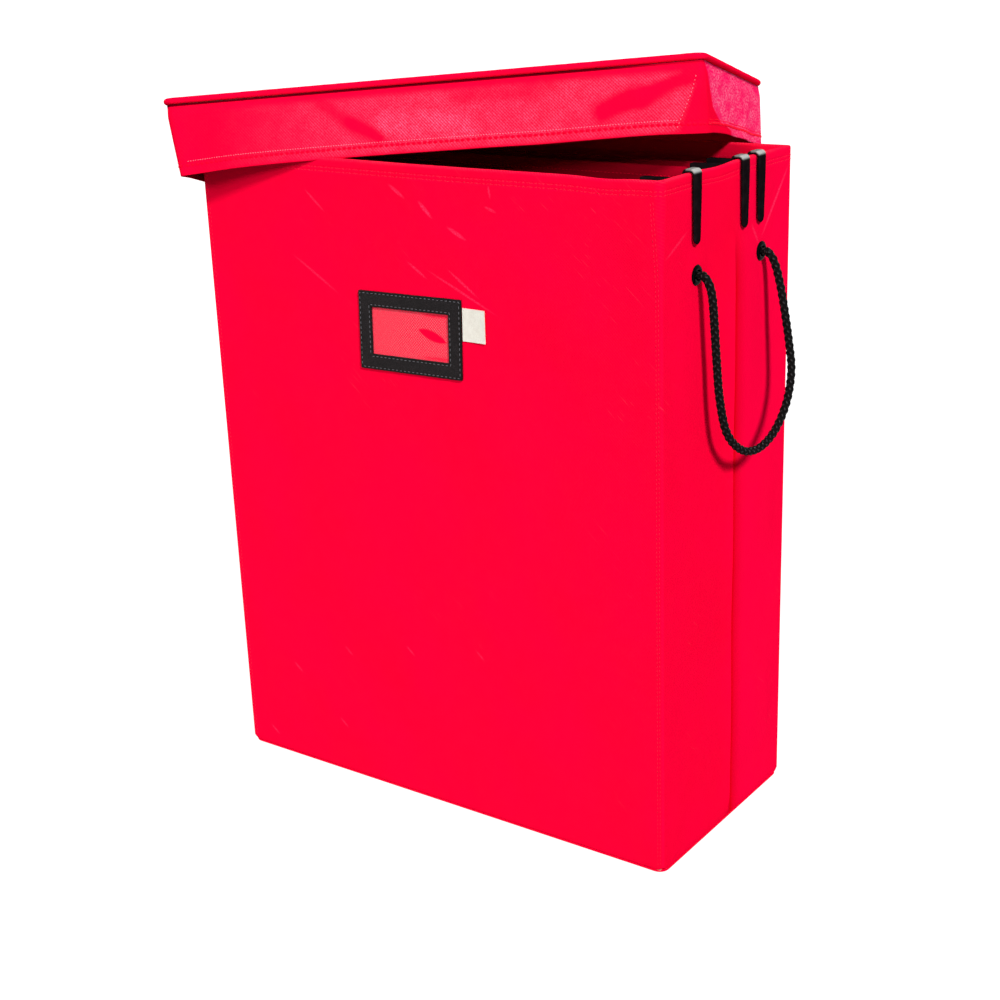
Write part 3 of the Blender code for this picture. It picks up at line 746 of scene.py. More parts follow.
class Stitches:
    """Small sewn stitches gathered into one mesh.

    Each ring of a stitch has its place in shares of the length, and its size in shares of the radius.
    """

    rings = ((-0.5, 0.35), (-0.3, 0.95), (0.3, 0.95), (0.5, 0.35))
    sides = 6

    def __init__(self):
        self.vertices = []
        self.faces = []
        self.count = 0

    def run(self, places, normals, pitch, length, radius, slant_degrees=0, rise=1.0):
        """Stitches an even pitch apart along a line of places with their surface normals.

        The rise is the share of the radius to which the thread is pressed flat.
        """
        places, normals = np.asarray(places, float), np.asarray(normals, float)
        way = np.concatenate([[0], np.cumsum(np.linalg.norm(np.diff(places, axis=0), axis=1))])
        middles = np.arange(pitch / 2, way[-1], pitch)

        def sample(values, at):
            return np.stack([np.interp(at, way, values[:, axis]) for axis in range(3)], axis=1)

        centre, normal = sample(places, middles), sample(normals, middles)
        tangent = sample(places, middles + length / 2) - sample(places, middles - length / 2)
        tangent /= np.maximum(np.linalg.norm(tangent, axis=1), 1e-9)[:, None]
        normal /= np.linalg.norm(normal, axis=1)[:, None]
        side = np.cross(tangent, normal)
        slant = np.radians(slant_degrees) * (-1) ** np.arange(len(centre))[:, None]
        tangent, side = (
            tangent * np.cos(slant) + side * np.sin(slant),
            side * np.cos(slant) - tangent * np.sin(slant),
        )
        centre = centre + normal * radius * rise * stitch_sink
        ring_vertices = []
        for place_share, size_share in self.rings:
            for index in range(self.sides):
                angle = math.tau * index / self.sides
                across = math.cos(angle) * radius * size_share
                up = math.sin(angle) * radius * size_share * rise
                ring_vertices.append(centre + tangent * place_share * length + side * across + normal * up)
        block = np.stack(ring_vertices, axis=1)
        size = block.shape[1]
        for index in range(len(centre)):
            base = self.count + index * size
            for ring in range(len(self.rings) - 1):
                for k in range(self.sides):
                    a = base + ring * self.sides + k
                    b = base + ring * self.sides + (k + 1) % self.sides
                    self.faces.append((a, b, b + self.sides, a + self.sides))
            self.faces.append(tuple(base + k for k in range(self.sides)))
            self.faces.append(tuple(base + size - self.sides + k for k in range(self.sides)))
        self.vertices.append(block.reshape(-1, 3))
        self.count += block.shape[0] * size

    def build(self, name, material, matrix=None):
        mesh = bpy.data.meshes.new(name)
        mesh.from_pydata(np.concatenate(self.vertices).tolist(), [], self.faces)
        item = finish_mesh(name, mesh, material, smooth_degrees=80)
        if matrix is not None:
            mesh.transform(matrix)
        return item


# Bodies and nodes

def attach(piece, body, slot, *nodes):
    """Ride a piece on its body, in place of nodes if any. The slot is not used."""
    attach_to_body(piece, body)
    if nodes:
        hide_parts(*nodes)


def dress_nodes(material, names):
    """Give solids that stay their material."""
    for name in names:
        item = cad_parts[name]
        item.data.materials.clear()
        item.data.materials.append(material)


# Materials

class Shader:
    """A material's nodes, added one by one."""

    def __init__(self, name, kind):
        roughness, specular = SURFACES[kind]
        self.material = bpy.data.materials.new(name)
        self.material.use_nodes = True
        self.tree = self.material.node_tree
        self.surface = self.tree.nodes["Principled BSDF"]
        self.surface.inputs["Roughness"].default_value = roughness
        self.surface.inputs["Specular IOR Level"].default_value = specular

    def node(self, kind, values=None, **settings):
        item = self.tree.nodes.new(kind)
        for setting, value in settings.items():
            setattr(item, setting, value)
        for socket, value in (values or {}).items():
            if isinstance(value, bpy.types.NodeSocket):
                self.tree.links.new(value, item.inputs[socket])
            else:
                item.inputs[socket].default_value = value
        return item

    def math(self, operation, first, second=0.0):
        return self.node("ShaderNodeMath", {0: first, 1: second}, operation=operation).outputs[0]

    def times(self, first, second):
        return self.math("MULTIPLY", first, second)

    def noise(self, place, name):
        scale, detail = NOISES[name]
        return self.node("ShaderNodeTexNoise", {"Vector": place, "Scale": scale, "Detail": detail}).outputs["Fac"]

    def ramp(self, value, low, high, start=0.0, end=1.0):
        values = {"Value": value, "From Min": low, "From Max": high, "To Min": start, "To Max": end}
        return self.node("ShaderNodeMapRange", values).outputs["Result"]

    def shade(self, value, name):
        return self.ramp(value, *RAMPS[name])

    def mix(self, share, first, second, blend="MIX"):
        item = self.node("ShaderNodeMix", data_type="RGBA", blend_type=blend)
        for socket, value in ((0, share), (6, first), (7, second)):
            if isinstance(value, bpy.types.NodeSocket):
                self.tree.links.new(value, item.inputs[socket])
            elif socket:
                item.inputs[socket].default_value = (*value, 1.0)
            else:
                item.inputs[socket].default_value = value
        return item.outputs[2]

    def stretched(self, place, scale):
        return self.node("ShaderNodeMapping", {"Vector": place, "Scale": scale}).outputs[0]

    def placed(self, place, middle, turn, size):
        """The place as a box about a middle sees it, turned, with its half sizes as one."""
        values = {"Vector": place, "Location": (*middle, 0.0), "Rotation": (0.0, 0.0, turn), "Scale": size}
        return self.node("ShaderNodeMapping", values, vector_type="TEXTURE").outputs[0]

    def metres(self):
        return self.node("ShaderNodeUVMap", uv_map="metres").outputs["UV"]

    def around(self):
        return self.node("ShaderNodeTexCoord").outputs["Object"]

    def mask(self, name):
        return self.node("ShaderNodeAttribute", attribute_name=name).outputs["Fac"]

    def colour(self, value):
        self.tree.links.new(value, self.surface.inputs["Base Color"])

    def rough(self, value):
        self.tree.links.new(value, self.surface.inputs["Roughness"])

    def bump(self, height, name):
        distance, strength = BUMPS[name]
        values = {"Height": height, "Distance": distance, "Strength": strength}
        self.tree.links.new(self.node("ShaderNodeBump", values).outputs[0], self.surface.inputs["Normal"])


def emboss(shader, place):
    """The fine diagonal lines, crossing, that are pressed into non-woven fabric."""
    parts = shader.node("ShaderNodeSeparateXYZ", {0: place}).outputs
    one, two = (
        shader.math("SINE", shader.times(shader.math(way, parts[0], parts[1]), math.tau / emboss_pitch))
        for way in ("ADD", "SUBTRACT")
    )
    return shader.math("MAXIMUM", one, shader.times(two, emboss_cross))


def soft_stroke(shader, place, start, end, half):
    """One in the middle of a line, falling to nothing at its ends and at half a width beside it."""
    start, end = Vector(start), Vector(end)
    way = end - start
    inside = shader.placed(place, (start + end) / 2, math.atan2(way.y, way.x), (way.length / 2, half, 1.0))
    flat = shader.node("ShaderNodeVectorMath", {0: inside, 1: (1.0, 1.0, 0.0)}, operation="MULTIPLY").outputs[0]
    return shader.node("ShaderNodeTexGradient", {"Vector": flat}, gradient_type="SPHERICAL").outputs["Fac"]


def non_woven(name, tones, pale_amount, scuffed=False, strokes=()):
    """Embossed non-woven fabric, paler where it is stretched and scuffed, with the painted sheen, painted
    highlights and painted shade that its masks and strokes ask for.
    """
    red, pale, deep = tones
    shader = Shader(name, "fabric")
    place = shader.metres()
    wide = shader.stretched(place, wide_scale)
    hatch = emboss(shader, place)
    cloud = shader.noise(place, "cloud")
    fine = shader.noise(place, "fine")
    grain = shader.times(shader.shade(hatch, "hatch"), shader.shade(fine, "fine"))
    patch = shader.times(shader.shade(shader.noise(place, "mottle"), "mottle"), shader.shade(cloud, "cloud"))
    amount = shader.times(patch, shader.math("ADD", shader.mask("pale"), pale_amount))
    # Pale flecks of painted sheen, only where the sheen mask is strong
    peel, peel_patch = (shader.shade(shader.noise(wide, part), part) for part in ("peel", "peel_patch"))
    peel = shader.times(shader.times(peel, peel_patch), shader.shade(shader.mask("bloom"), "full_bloom"))
    base = shader.mix(shader.shade(cloud, "deep"), red, deep)
    # Painted sheen: pinker red where the sheen mask is
    base = shader.mix(shader.mask("bloom"), base, sheen_red)
    base = shader.mix(peel, base, pale)
    base = shader.mix(shader.times(grain, amount), base, pale)
    if scuffed:
        scuff = shader.placed(place, (0.0, 0.0), scuff_turn, scuff_size)
        streak = shader.shade(shader.noise(scuff, "scuff"), "scuff")
        where = shader.shade(shader.noise(place, "scuff_patch"), "scuff_patch")
        base = shader.mix(shader.times(streak, where), base, pale)
    flecks = shader.shade(shader.noise(place, "flecks"), "flecks")
    # Pale lines: scuffs, and painted highlights along pull lines
    for start, end, half, strength in strokes:
        share = shader.ramp(soft_stroke(shader, place, start, end, half), 0.0, stroke_ramp_end, 0.0, strength)
        base = shader.mix(shader.times(share, flecks), base, scuff_and_highlight_pink)
    # Painted shade from the fold, crease and inside masks
    for mask, shade in fabric_painted_shades:
        base = shader.mix(shader.mask(mask), base, shade, "MULTIPLY")
    shader.colour(base)
    shader.rough(shader.shade(fine, "fabric_rough"))
    fibres = shader.times(shader.noise(place, "fibres"), fibre_height)
    shader.bump(shader.math("ADD", shader.times(hatch, hatch_height), fibres), "fabric")
    return shader.material


def thread(name, tone):
    """Twisted sewing thread."""
    shader = Shader(name, "thread")
    twist = shader.noise(shader.around(), "twist")
    dark = tuple(part * thread_shade for part in tone)
    shader.colour(shader.mix(shader.shade(twist, "twist"), tone, dark))
    shader.bump(twist, "thread")
    return shader.material


def board_stock(name):
    """Grey-brown card with long fibres and small specks."""
    tone, dark = card_tones
    shader = Shader(name, "card")
    place = shader.around()
    fibres = shader.noise(shader.stretched(place, card_fibre_scale), "card_fibres")
    specks = shader.shade(shader.noise(place, "specks"), "specks")
    shade = shader.mix(shader.shade(fibres, "card_fibres"), tone, dark)
    shader.colour(shader.mix(specks, shade, tuple(part * speck_shade for part in dark)))
    shader.bump(fibres, "card")
    return shader.material


def leather(name):
    """Fine-grained leatherette, darker where its cut edges are pressed down."""
    shader = Shader(name, "leather")
    place = shader.metres()
    cells = shader.node(
        "ShaderNodeTexVoronoi", {"Vector": place, "Scale": leather_cell_scale}, feature="DISTANCE_TO_EDGE",
    ).outputs["Distance"]
    grain = shader.shade(cells, "leather_grain")
    shade = shader.mix(shader.shade(shader.noise(place, "leather_cloud"), "leather_cloud"), *leather_tones)
    shade = shader.mix(shader.mask("edge"), shade, leather_edge_tone)
    shader.colour(shader.mix(grain, leather_grain_tone, shade))
    shader.rough(shader.shade(grain, "leather_rough"))
    shader.bump(grain, "leather")
    return shader.material


def gloss_black(name, tone):
    """Worn black plastic or enamel, with a painted highlight in pale grey where the bend mask is."""
    shader = Shader(name, name)
    roughness, _ = SURFACES[name]
    place = shader.around()
    wear = shader.noise(place, name)
    worn = tuple(part * wear_growth + wear_lift for part in tone)
    shader.colour(shader.mix(shader.mask("bend"), shader.mix(shader.shade(wear, "wear"), tone, worn), bend_highlight_grey))
    low, high, least, most = wear_rough
    shader.rough(shader.ramp(wear, low, high, roughness * least, roughness * most))
    shader.bump(shader.noise(place, name + "_grain"), "gloss")
    return shader.material


def braid_yarn(name):
    """Black cord yarn: fine filaments, with a painted highlight on each strand's crown and painted shade in the
    gaps between strands.
    """
    shader = Shader(name, "yarn")
    filaments = shader.noise(shader.stretched(shader.metres(), filament_scale), "filaments")
    yarn = shader.mix(shader.shade(filaments, "filaments"), *yarn_tones)
    crown = shader.shade(shader.mask("crown"), "crown")
    shader.colour(shader.mix(crown, yarn_gap_shade, yarn))
    shader.rough(shader.shade(crown, "yarn_rough"))
    shader.bump(filaments, "yarn")
    return shader.material


def film(name):
    """Clear film with a milky haze, which clears where it touches the fabric behind."""
    shader = Shader(name, "film")
    place = shader.metres()
    dust = shader.noise(place, "dust")
    shader.colour(shader.mix(shader.shade(dust, "dust"), *film_tones))
    shader.rough(shader.shade(dust, "film_rough"))
    lines = shader.times(shader.shade(emboss(shader, place), "film_hatch"), shader.mask("lines"))
    plain = shader.shade(shader.mask("lines"), "film_plain")
    haze = shader.math("ADD", shader.shade(dust, "haze"), shader.math("ADD", plain, lines))
    clear = shader.math("SUBTRACT", 1.0, shader.mask("clear"))
    shader.tree.links.new(shader.times(haze, clear), shader.surface.inputs["Alpha"])
    shader.material.surface_render_method = "BLENDED"
    return shader.material


def woven_cloth(name):
    """Pale cream ribbon with a fine weave."""
    shader = Shader(name, "ribbon")
    place = shader.metres()
    parts = shader.node("ShaderNodeSeparateXYZ", {0: place}).outputs
    warp, weft = (shader.math("SINE", shader.times(parts[axis], math.tau / weave_pitch)) for axis in (0, 1))
    tone = shader.mix(shader.shade(shader.noise(place, "ribbon_cloud"), "ribbon_cloud"), *tag_tones)
    shader.colour(shader.mix(shader.mask("fold"), tone, tag_fold_tone))
    shader.bump(shader.times(warp, weft), "ribbon")
    return shader.material


def panel_strokes():
    """The pale lines in UV places on the box fabric: scuffs on the front and painted highlights on the right side.
    """
    foot = wall_foot + foot_round
    front_start = corner_radius - half_width
    side_start = corner_radius - half_depth - 2 * (half_width - corner_radius) - corner_radius * math.pi / 2
    for strokes, origin in ((front_strokes, front_start), (side_highlight_strokes, side_start)):
        for start, end, half, strength in strokes:
            yield (start[0] - origin, start[1] - foot), (end[0] - origin, end[1] - foot), half, strength


panel_red = non_woven("panel_fabric", panel_tones, 0.03, scuffed=True, strokes=tuple(panel_strokes()))
lid_red = non_woven("lid_fabric", lid_tones, 0.02)
divider_red = non_woven("divider_fabric", divider_tones, 0.06)
red_thread = thread("red_thread", (0.98, 0.014, 0.060))
deep_thread = thread("deep_red_thread", (0.98, 0.0, 0.030))
pale_thread = thread("pale_red_thread", (1.0, 0.22, 0.34))
grey_thread = thread("grey_thread", (0.13, 0.125, 0.14))
card = board_stock("card_board")
label_leather = leather("label_leather")
label_film = film("window_film")
tag_ribbon = woven_cloth("tag_ribbon")
black_enamel = gloss_black("black_enamel", (0.001, 0.001, 0.001))
hook_black = gloss_black("hook_black", (0.006, 0.004, 0.005))
rope_yarn = braid_yarn("rope_yarn")


# Box

def on_side(segment):
    """Whether a segment is one of the two folding sides."""
    return (segment == RIGHT) | (segment == LEFT)


def side_fold(segment, y):
    """Height of the panel over its plane, at the fold down the middle of a side."""
    past = y - fold_y
    front_half = fold_ridge * np.exp(-np.abs(past) / fold_front_spread)
    rear_half = np.clip(fold_ridge * (1 - past / fold_back_spread), -fold_recess, None)
    recovery = -fold_recess * (1 - smooth_step(fold_back_spread, fold_recovery, past))
    shape = np.where(past <= 0, front_half, np.where(past < fold_back_spread, rear_half, recovery))
    return np.where(on_side(segment), shape, 0.0)


def panel_height(segment, points, z):
    """Relief of the outer face: folds, soft waves, hem and sewn seams."""
    x, y = points[..., 0], points[..., 1]
    from_rim = rim_height - z
    side = on_side(segment)
    along = np.where(side, half_width + y, x)
    from_corner = np.where(side, half_depth - np.abs(y), half_width - np.abs(x))
    fade = smooth_step(*wave_rim_fade, from_rim) * smooth_step(*wave_foot_fade, z - wall_foot)
    fade = fade * smooth_step(*wave_corner_fade, from_corner)
    to_label = np.maximum(np.abs(x - label_x) - label_half_x, np.abs(z - label_z) - label_half_z)
    fade = np.where(segment == FRONT, fade * smooth_step(*wave_label_fade, to_label), fade)
    shape = wave_height * ripple(along, z, SEEDS["panel"], wave_length) * fade
    fold_share = fold_rim_share + (1 - fold_rim_share) * smooth_step(*fold_fade, from_rim)
    shape = shape + side_fold(segment, y) * fold_share * smooth_step(0.0, fold_foot_reach, z)
    to_eyelet = np.hypot(np.abs(y) - eyelet_place_y, z - eyelet_height)
    shape = np.where(side, shape * smooth_step(*eyelet_flat_fade, to_eyelet), shape)
    near_hooks = side & (from_rim < hook_outer_drop + hook_flat_margin)
    shape = np.where(near_hooks, np.minimum(shape, 0.0), shape)
    groove = sum(bell(from_rim - row, groove_spread) for row in hem_rows)
    return shape - groove_depth * groove * smooth_step(*groove_fade, from_corner)


def corner_radii_at(z):
    """Radii of the four corners at a height: the near right one opens out towards the rim."""
    growth = (rim_corner_radius - corner_radius) * smooth_step(rim_height - rim_corner_reach, rim_height, z)
    return corner_radius + growth * np.array([1.0, 0.0, 0.0, 0.0])


def panel_face(segment, share, z, depth=0.0, outer=1.0):
    """Points and outward normals of the wall at a height, with its relief on the outer face."""
    z = np.broadcast_to(z, np.shape(segment)).astype(float)
    radius = np.maximum(corner_radii_at(z.flat[0]) - depth, inner_corner_radius)
    points, normals = outline(segment, share, half_width - depth, half_depth - depth, radius)
    height = panel_height(segment, points, z) * outer
    x, y = points[:, 0], points[:, 1]
    sag = rim_wave * ripple(x, y, SEEDS["rim"], rim_wave_length)
    sags = ((rim_side_sag, y, np.abs(x) > half_width - wall_band), (rim_front_sag, x, y < wall_band - half_depth))
    for (most, middle, spread), along, on_wall in sags:
        sag = sag - most * bell(along - middle, spread) * on_wall
    from_corner = np.maximum(half_width - np.abs(x), half_depth - np.abs(y))
    lift = foot_corner_lift * (1 - smooth_step(0.0, foot_corner_reach, from_corner)) ** 2
    lift = lift * (1 - smooth_step(0.0, foot_corner_rise, z - wall_foot))
    z = z + sag * smooth_step(-rim_sag_reach, 0.0, z - rim_height) + lift
    place = np.column_stack([points + normals * height[:, None], z])
    return place, np.column_stack([normals, np.zeros(len(points))])


def stroke(across, up, start, end, half):
    """One within half a width of a straight line, fading to nothing outside it."""
    start, end = np.array(start), np.array(end)
    way = end - start
    share = np.clip(((across - start[0]) * way[0] + (up - start[1]) * way[1]) / (way @ way), 0, 1)
    gap = np.hypot(across - start[0] - share * way[0], up - start[1] - share * way[1])
    low, high = stroke_edge
    return 1 - smooth_step(half * low, half * high, gap)


def build_box_fabric():
    """One sleeve of fabric all round: outer face, folded rim, inner face and foot."""
    def places_on_run(segment, length):
        fine = [0.0, length]
        fold = {RIGHT: length / 2 + fold_y, LEFT: length / 2 - fold_y}.get(segment)
        if fold is not None:
            fine.append(fold)
        return spaced(length, fine, fine_span, grid_step if fold is None else side_grid_step)

    segment, share = columns_round(half_width, half_depth, corner_radius, places_on_run)
    outer_top = rim_height - rim_round
    outer_foot = wall_foot + foot_round
    hem_foot = rim_height - hem_height
    inner_wall = hem_wall - hem_step
    heights = spaced(outer_top - wall_foot - foot_round, [outer_top - wall_foot - foot_round], rim_fine_span)
    rows = [(0.0, outer_foot + height, 1.0) for height in heights]
    rows += [(d, z, 0.0) for d, z in arc((rim_round, outer_top), rim_round, 180, 90, 5)[1:]]
    rows += [(d, z, 0.0) for d, z in arc((hem_wall - rim_round, outer_top), rim_round, 90, 0, 5)]
    rows += [(hem_wall, hem_foot + hem_step, 0.0)]
    rows += [(inner_wall, z, 0.0) for z in np.linspace(hem_foot, wall_foot + foot_chamfer, inner_face_rows)]
    rows += [(inner_wall - foot_chamfer, wall_foot, 0.0), (foot_round, wall_foot, 0.0)]
    rows += [(d, z, 0.0) for d, z in arc((foot_round, outer_foot), foot_round, 270, 180, 4)[1:-1]]

    grid = np.array([panel_face(segment, share, z, depth, outer)[0] for depth, z, outer in rows])
    outer_side = np.array([outer for _, _, outer in rows])[:, None] * on_side(segment)
    ring = np.array([(depth, z) for depth, z, _ in rows])
    from_rim = rim_height - grid[..., 2]
    past = grid[..., 1] - fold_y
    fold = sum(strength * bell(past - middle, spread) for middle, spread, strength in fold_painted_shades)
    masks = {
        # The pale mask paints a highlight along the rim
        "pale": bell(from_rim, rim_highlight_spread) * rim_highlight,
        # Painted shade: darker colour down the rear slope of each side's fold
        "fold": fold * outer_side * smooth_step(*fold_fade, from_rim),
        # Painted sheen, lighter and pinker, on the rear half of each side
        "bloom": side_sheen * smooth_step(0.0, side_sheen_reach, past) * outer_side,
        # Painted shade on the inner face, deeper below the rim
        "inside": (ring[:, :1] > hem_wall - inside_margin) * smooth_step(*inside_shade_fade, from_rim),
    }
    middle, _ = outline(segment, share, half_width, half_depth, corner_radius)
    uv = uv_grid(ring_lengths(middle), ring_lengths(ring))
    shell = grid_object("box_fabric", grid, uv, panel_red, masks=masks)
    bore_eyelets(shell)
    return shell


def bore_eyelets(shell):
    """Cut the holes that the eyelets go through."""
    cutter = bpy.data.meshes.new("eyelet_bores")
    builder = bmesh.new()
    for side in (-1, 1):
        for end in (-1, 1):
            place = Matrix.Translation((side * half_width, end * eyelet_place_y, eyelet_height))
            bmesh.ops.create_cone(
                builder, cap_ends=True, segments=eyelet_bore_sides, radius1=eyelet_hole, radius2=eyelet_hole,
                depth=eyelet_bore_length, matrix=place @ Matrix.Rotation(math.pi / 2, 4, "Y"),
            )
    builder.to_mesh(cutter)
    builder.free()
    tool = bpy.data.objects.new("eyelet_bores", cutter)
    bpy.context.scene.collection.objects.link(tool)
    carve(shell, tool)


def carve(item, tool):
    """Cut a tool out of an item and remove the tool."""
    cut = item.modifiers.new("cut", "BOOLEAN")
    cut.operation = "DIFFERENCE"
    cut.solver = "EXACT"
    cut.object = tool
    apply_modifiers(item)
    mesh = tool.data
    bpy.data.objects.remove(tool)
    bpy.data.meshes.remove(mesh)


def apply_modifiers(item):
    """Apply an item's modifiers in their order."""
    with bpy.context.temp_override(object=item, active_object=item, selected_objects=[item]):
        for modifier in list(item.modifiers):
            bpy.ops.object.modifier_apply(modifier=modifier.name)


def build_box_stitches():
    """Two rows round the rim, outside and in, and two rows down beside each corner."""
    def places_on_run(_, length):
        return np.append(np.arange(0, length, sewing_step), length)

    rows = Stitches()
    columns = columns_round(half_width, half_depth, corner_radius, places_on_run, 5)
    plain = (stitch_pitch, stitch_length)
    for row in hem_rows:
        places, normals = panel_face(*columns, rim_height - row)
        closed = np.append(np.arange(len(places)), 0)
        rows.run(places[closed], normals[closed], *plain, stitch_radius, stitch_slant)
        for segment in (FRONT, BACK):
            run = np.flatnonzero(columns[0] == segment)[2:-2]
            rows.run(places[run], normals[run], tick_pitch, tick_length, stitch_radius, tick_slant)
        places, normals = panel_face(*columns, rim_height - row, hem_wall, 0.0)
        for segment in (FRONT, RIGHT, BACK, LEFT):
            run = np.flatnonzero(columns[0] == segment)[1:-1]
            rows.run(places[run], -normals[run], *plain, inner_stitch_radius, stitch_slant)
    heights = np.arange(wall_foot + sewing_step, rim_height - hem_height - foot_chamfer, sewing_step)
    run = 2 * (half_width - corner_radius)
    for segment in (FRONT, BACK):
        for row in seam_rows:
            for share in (row / run, 1 - row / run):
                faces = [panel_face(np.array([segment]), np.array([share]), z) for z in heights]
                places, normals = (np.concatenate(part) for part in zip(*faces))
                rows.run(places, normals, stitch_pitch, seam_stitch_length, seam_stitch_radius)
    return rows.build("box_stitching", red_thread)


def plate_rings(columns, half_x, half_y, radius, edge_rows):
    """Rings of a closed plate, from near the middle of its top round its edge to the underside's middle.

    The edge rows are pairs of distance in from the outline and level, and the last is level with the
    underside.
    """
    shares = np.linspace(0, 1, plate_steps)[1:-1]
    rows = [(*edge_rows[0], share) for share in shares]
    rows += [(depth, level, 1.0) for depth, level in edge_rows]
    rows += [(*edge_rows[-1], share) for share in shares[::-1]]
    rings = []
    for depth, level, share in rows:
        radii = np.maximum(radius - depth, plate_least_radius)
        points, _ = outline(*columns, half_x - depth, half_y - depth, radii)
        rings.append(np.column_stack([points * share, np.full(len(points), level)]))
    return np.array(rings)


def flat_uv(rings):
    """UV places straight down onto the plate, closed round each ring."""
    flat = rings[..., :2]
    return np.concatenate([flat, flat[:, :1]], axis=1)


def soft_edge(low, high):
    """Edge rows of a plate whose edge is rounded from face to face."""
    middle, half = (low + high) / 2, (high - low) / 2
    angles = np.radians(np.arange(90, -91, -30))
    return [(plate_edge_round * (1 - math.cos(a)), middle + half * math.sin(a)) for a in angles]


def build_bottom():
    """The bottom panel, with its corners rounded under the box's lifted ones."""

    def places_on_run(_, length):
        return np.linspace(0, length, bottom_run_places)

    low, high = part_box("bottom_fabric")
    columns = columns_round(half_width, half_depth, foot_corner_reach, places_on_run)
    rings = plate_rings(columns, half_width, half_depth, foot_corner_reach, soft_edge(low.z, high.z))
    return grid_object("bottom_panel", rings, flat_uv(rings), panel_red, caps=True)


# Label and tag

def lean(x, z):
    """The label is sewn on a little out of square."""
    return x + label_side_lean * z, z + label_top_lean * x


def build_label():
    """Stitched leather frame with a clear window, sewn on the front."""
    foot, thickness = -LABEL_HIGH.y, LABEL_HIGH.y - LABEL_LOW.y
    columns = columns_round(label_half_x, label_half_z, label_corner, corner_steps=4)

    def face(depth, share):
        radius = max(label_corner - depth, label_least_radius)
        points, _ = outline(*columns, label_half_x - depth, label_half_z - depth, radius)
        x, z = points[:, 0], points[:, 1]
        uneven = label_uneven * ripple(x, z, SEEDS["label"], label_uneven_length) * (share > label_uneven_level)
        out = foot + thickness * share + uneven
        x, z = lean(x, z)
        return np.column_stack([x + label_x, -out, z + label_z]), points

    grid = np.array([face(depth, share)[0] for depth, share in label_profile])
    ring = np.array([(depth, share * thickness) for depth, share in label_profile])
    middle = face(label_border / 2, 1.0)[1]
    uv = uv_grid(ring_lengths(middle), ring_lengths(ring))
    from_edge = np.array([min(depth, label_border - depth) for depth, _ in label_profile])[:, None]
    edge = np.broadcast_to(1 - smooth_step(*label_edge_fade, from_edge), grid.shape[:2])
    frame_piece = grid_object("label_frame_leather", grid, uv, label_leather, masks={"edge": edge})

    sewing = Stitches()
    for depth in label_rows:
        places, _ = face(depth, label_sewing_level)
        places = np.concatenate([places, places[:1]])
        normals = np.tile((0.0, -1.0, 0.0), (len(places), 1))
        sewing.run(places, normals, leather_stitch_pitch, leather_stitch_length, leather_stitch_radius)
    return frame_piece, sewing.build("label_stitching", grey_thread)


def sheet_grid(name, low, high, thickness, lift, material, masks, step):
    """A thin upright sheet, facing front, that leans as the label does and stands off by the lift."""
    size_x, size_z = high.x - low.x, high.z - low.z
    x = np.linspace(0, size_x, round(size_x / step))
    z = np.linspace(0, size_z, round(size_z / step))
    grid_x, grid_z = np.meshgrid(x, z)
    share_x, share_z = grid_x / size_x, grid_z / size_z
    off = high.y - lift(share_x, share_z)
    lean_x, lean_z = lean(grid_x + low.x - label_x, grid_z + low.z - label_z)
    front = np.stack([lean_x + label_x, off - thickness, lean_z + label_z], -1)
    back = np.stack([lean_x + label_x, off, lean_z + label_z], -1)
    rows = np.concatenate([front, back[:, ::-1]], axis=1)
    uv = uv_grid(np.concatenate([x, size_x + x, [2 * size_x]]), z)
    values = {}
    for key, mask in masks.items():
        share = mask(share_x, share_z)
        values[key] = np.concatenate([share, share[:, ::-1]], axis=1)
    return grid_object(name, rows, uv, material, caps=True, masks=values)


def build_window():
    """Clear film, which sticks to the fabric behind it in a leaf-shaped patch and along two creases."""
    leaf_start, leaf_end = leaf_span

    def lift(u, v):
        return film_swell * ripple(u, v, SEEDS["window"], film_swell_length) * np.sin(np.pi * u) * np.sin(np.pi * v)

    def clear(u, v):
        along = np.clip((u - leaf_start) / (leaf_end - leaf_start), 0, 1)
        gap = np.abs(v - (leaf_height - leaf_fall * along)) - leaf_half * np.sin(np.pi * along) ** leaf_taper
        total = (1 - smooth_step(*leaf_edge, gap)) * (u > leaf_start) * (u < leaf_end)
        for height, spread, begin in film_creases:
            total = total + film_crease_share * bell(v - height, spread) * smooth_step(*begin, u)
        return np.clip(total, 0, 1)

    def lines(u, v):
        return smooth_step(*film_line_fade, u - film_line_lean * (v - 0.5))

    masks = {"clear": clear, "lines": lines}
    return sheet_grid("window_film", WINDOW_LOW, WINDOW_HIGH, film_thickness, lift, label_film, masks, film_step)


def build_tag():
    """Bare tag of ribbon, sewn down at its left edge and lifting to the right."""

    def lift(u, v):
        return tag_lift * u ** tag_lift_power * (tag_lift_low + tag_lift_growth * v)

    def fold(_, v):
        return smooth_step(*tag_fold_fade, v)

    return sheet_grid("tag_ribbon", TAG_LOW, TAG_HIGH, tag_thickness, lift, tag_ribbon, {"fold": fold}, cloth_step)


def build_box():
    """The fabric, its stitches, the bottom, the label and the tag."""
    attach(build_box_fabric(), "box", "red_fabric", *SLEEVES)
    attach(build_box_stitches(), "box", "red_fabric")
    attach(build_bottom(), "box", "red_fabric", "bottom_fabric")
    leather_piece, sewing_piece = build_label()
    attach(leather_piece, "box", "black_leather", "label_frame")
    attach(sewing_piece, "box", "black_leather")
    attach(build_window(), "box", "clear_film", "label_window")
    attach(build_tag(), "box", "tag_cloth", "sewn_tag")


# Eyelets and rope handles

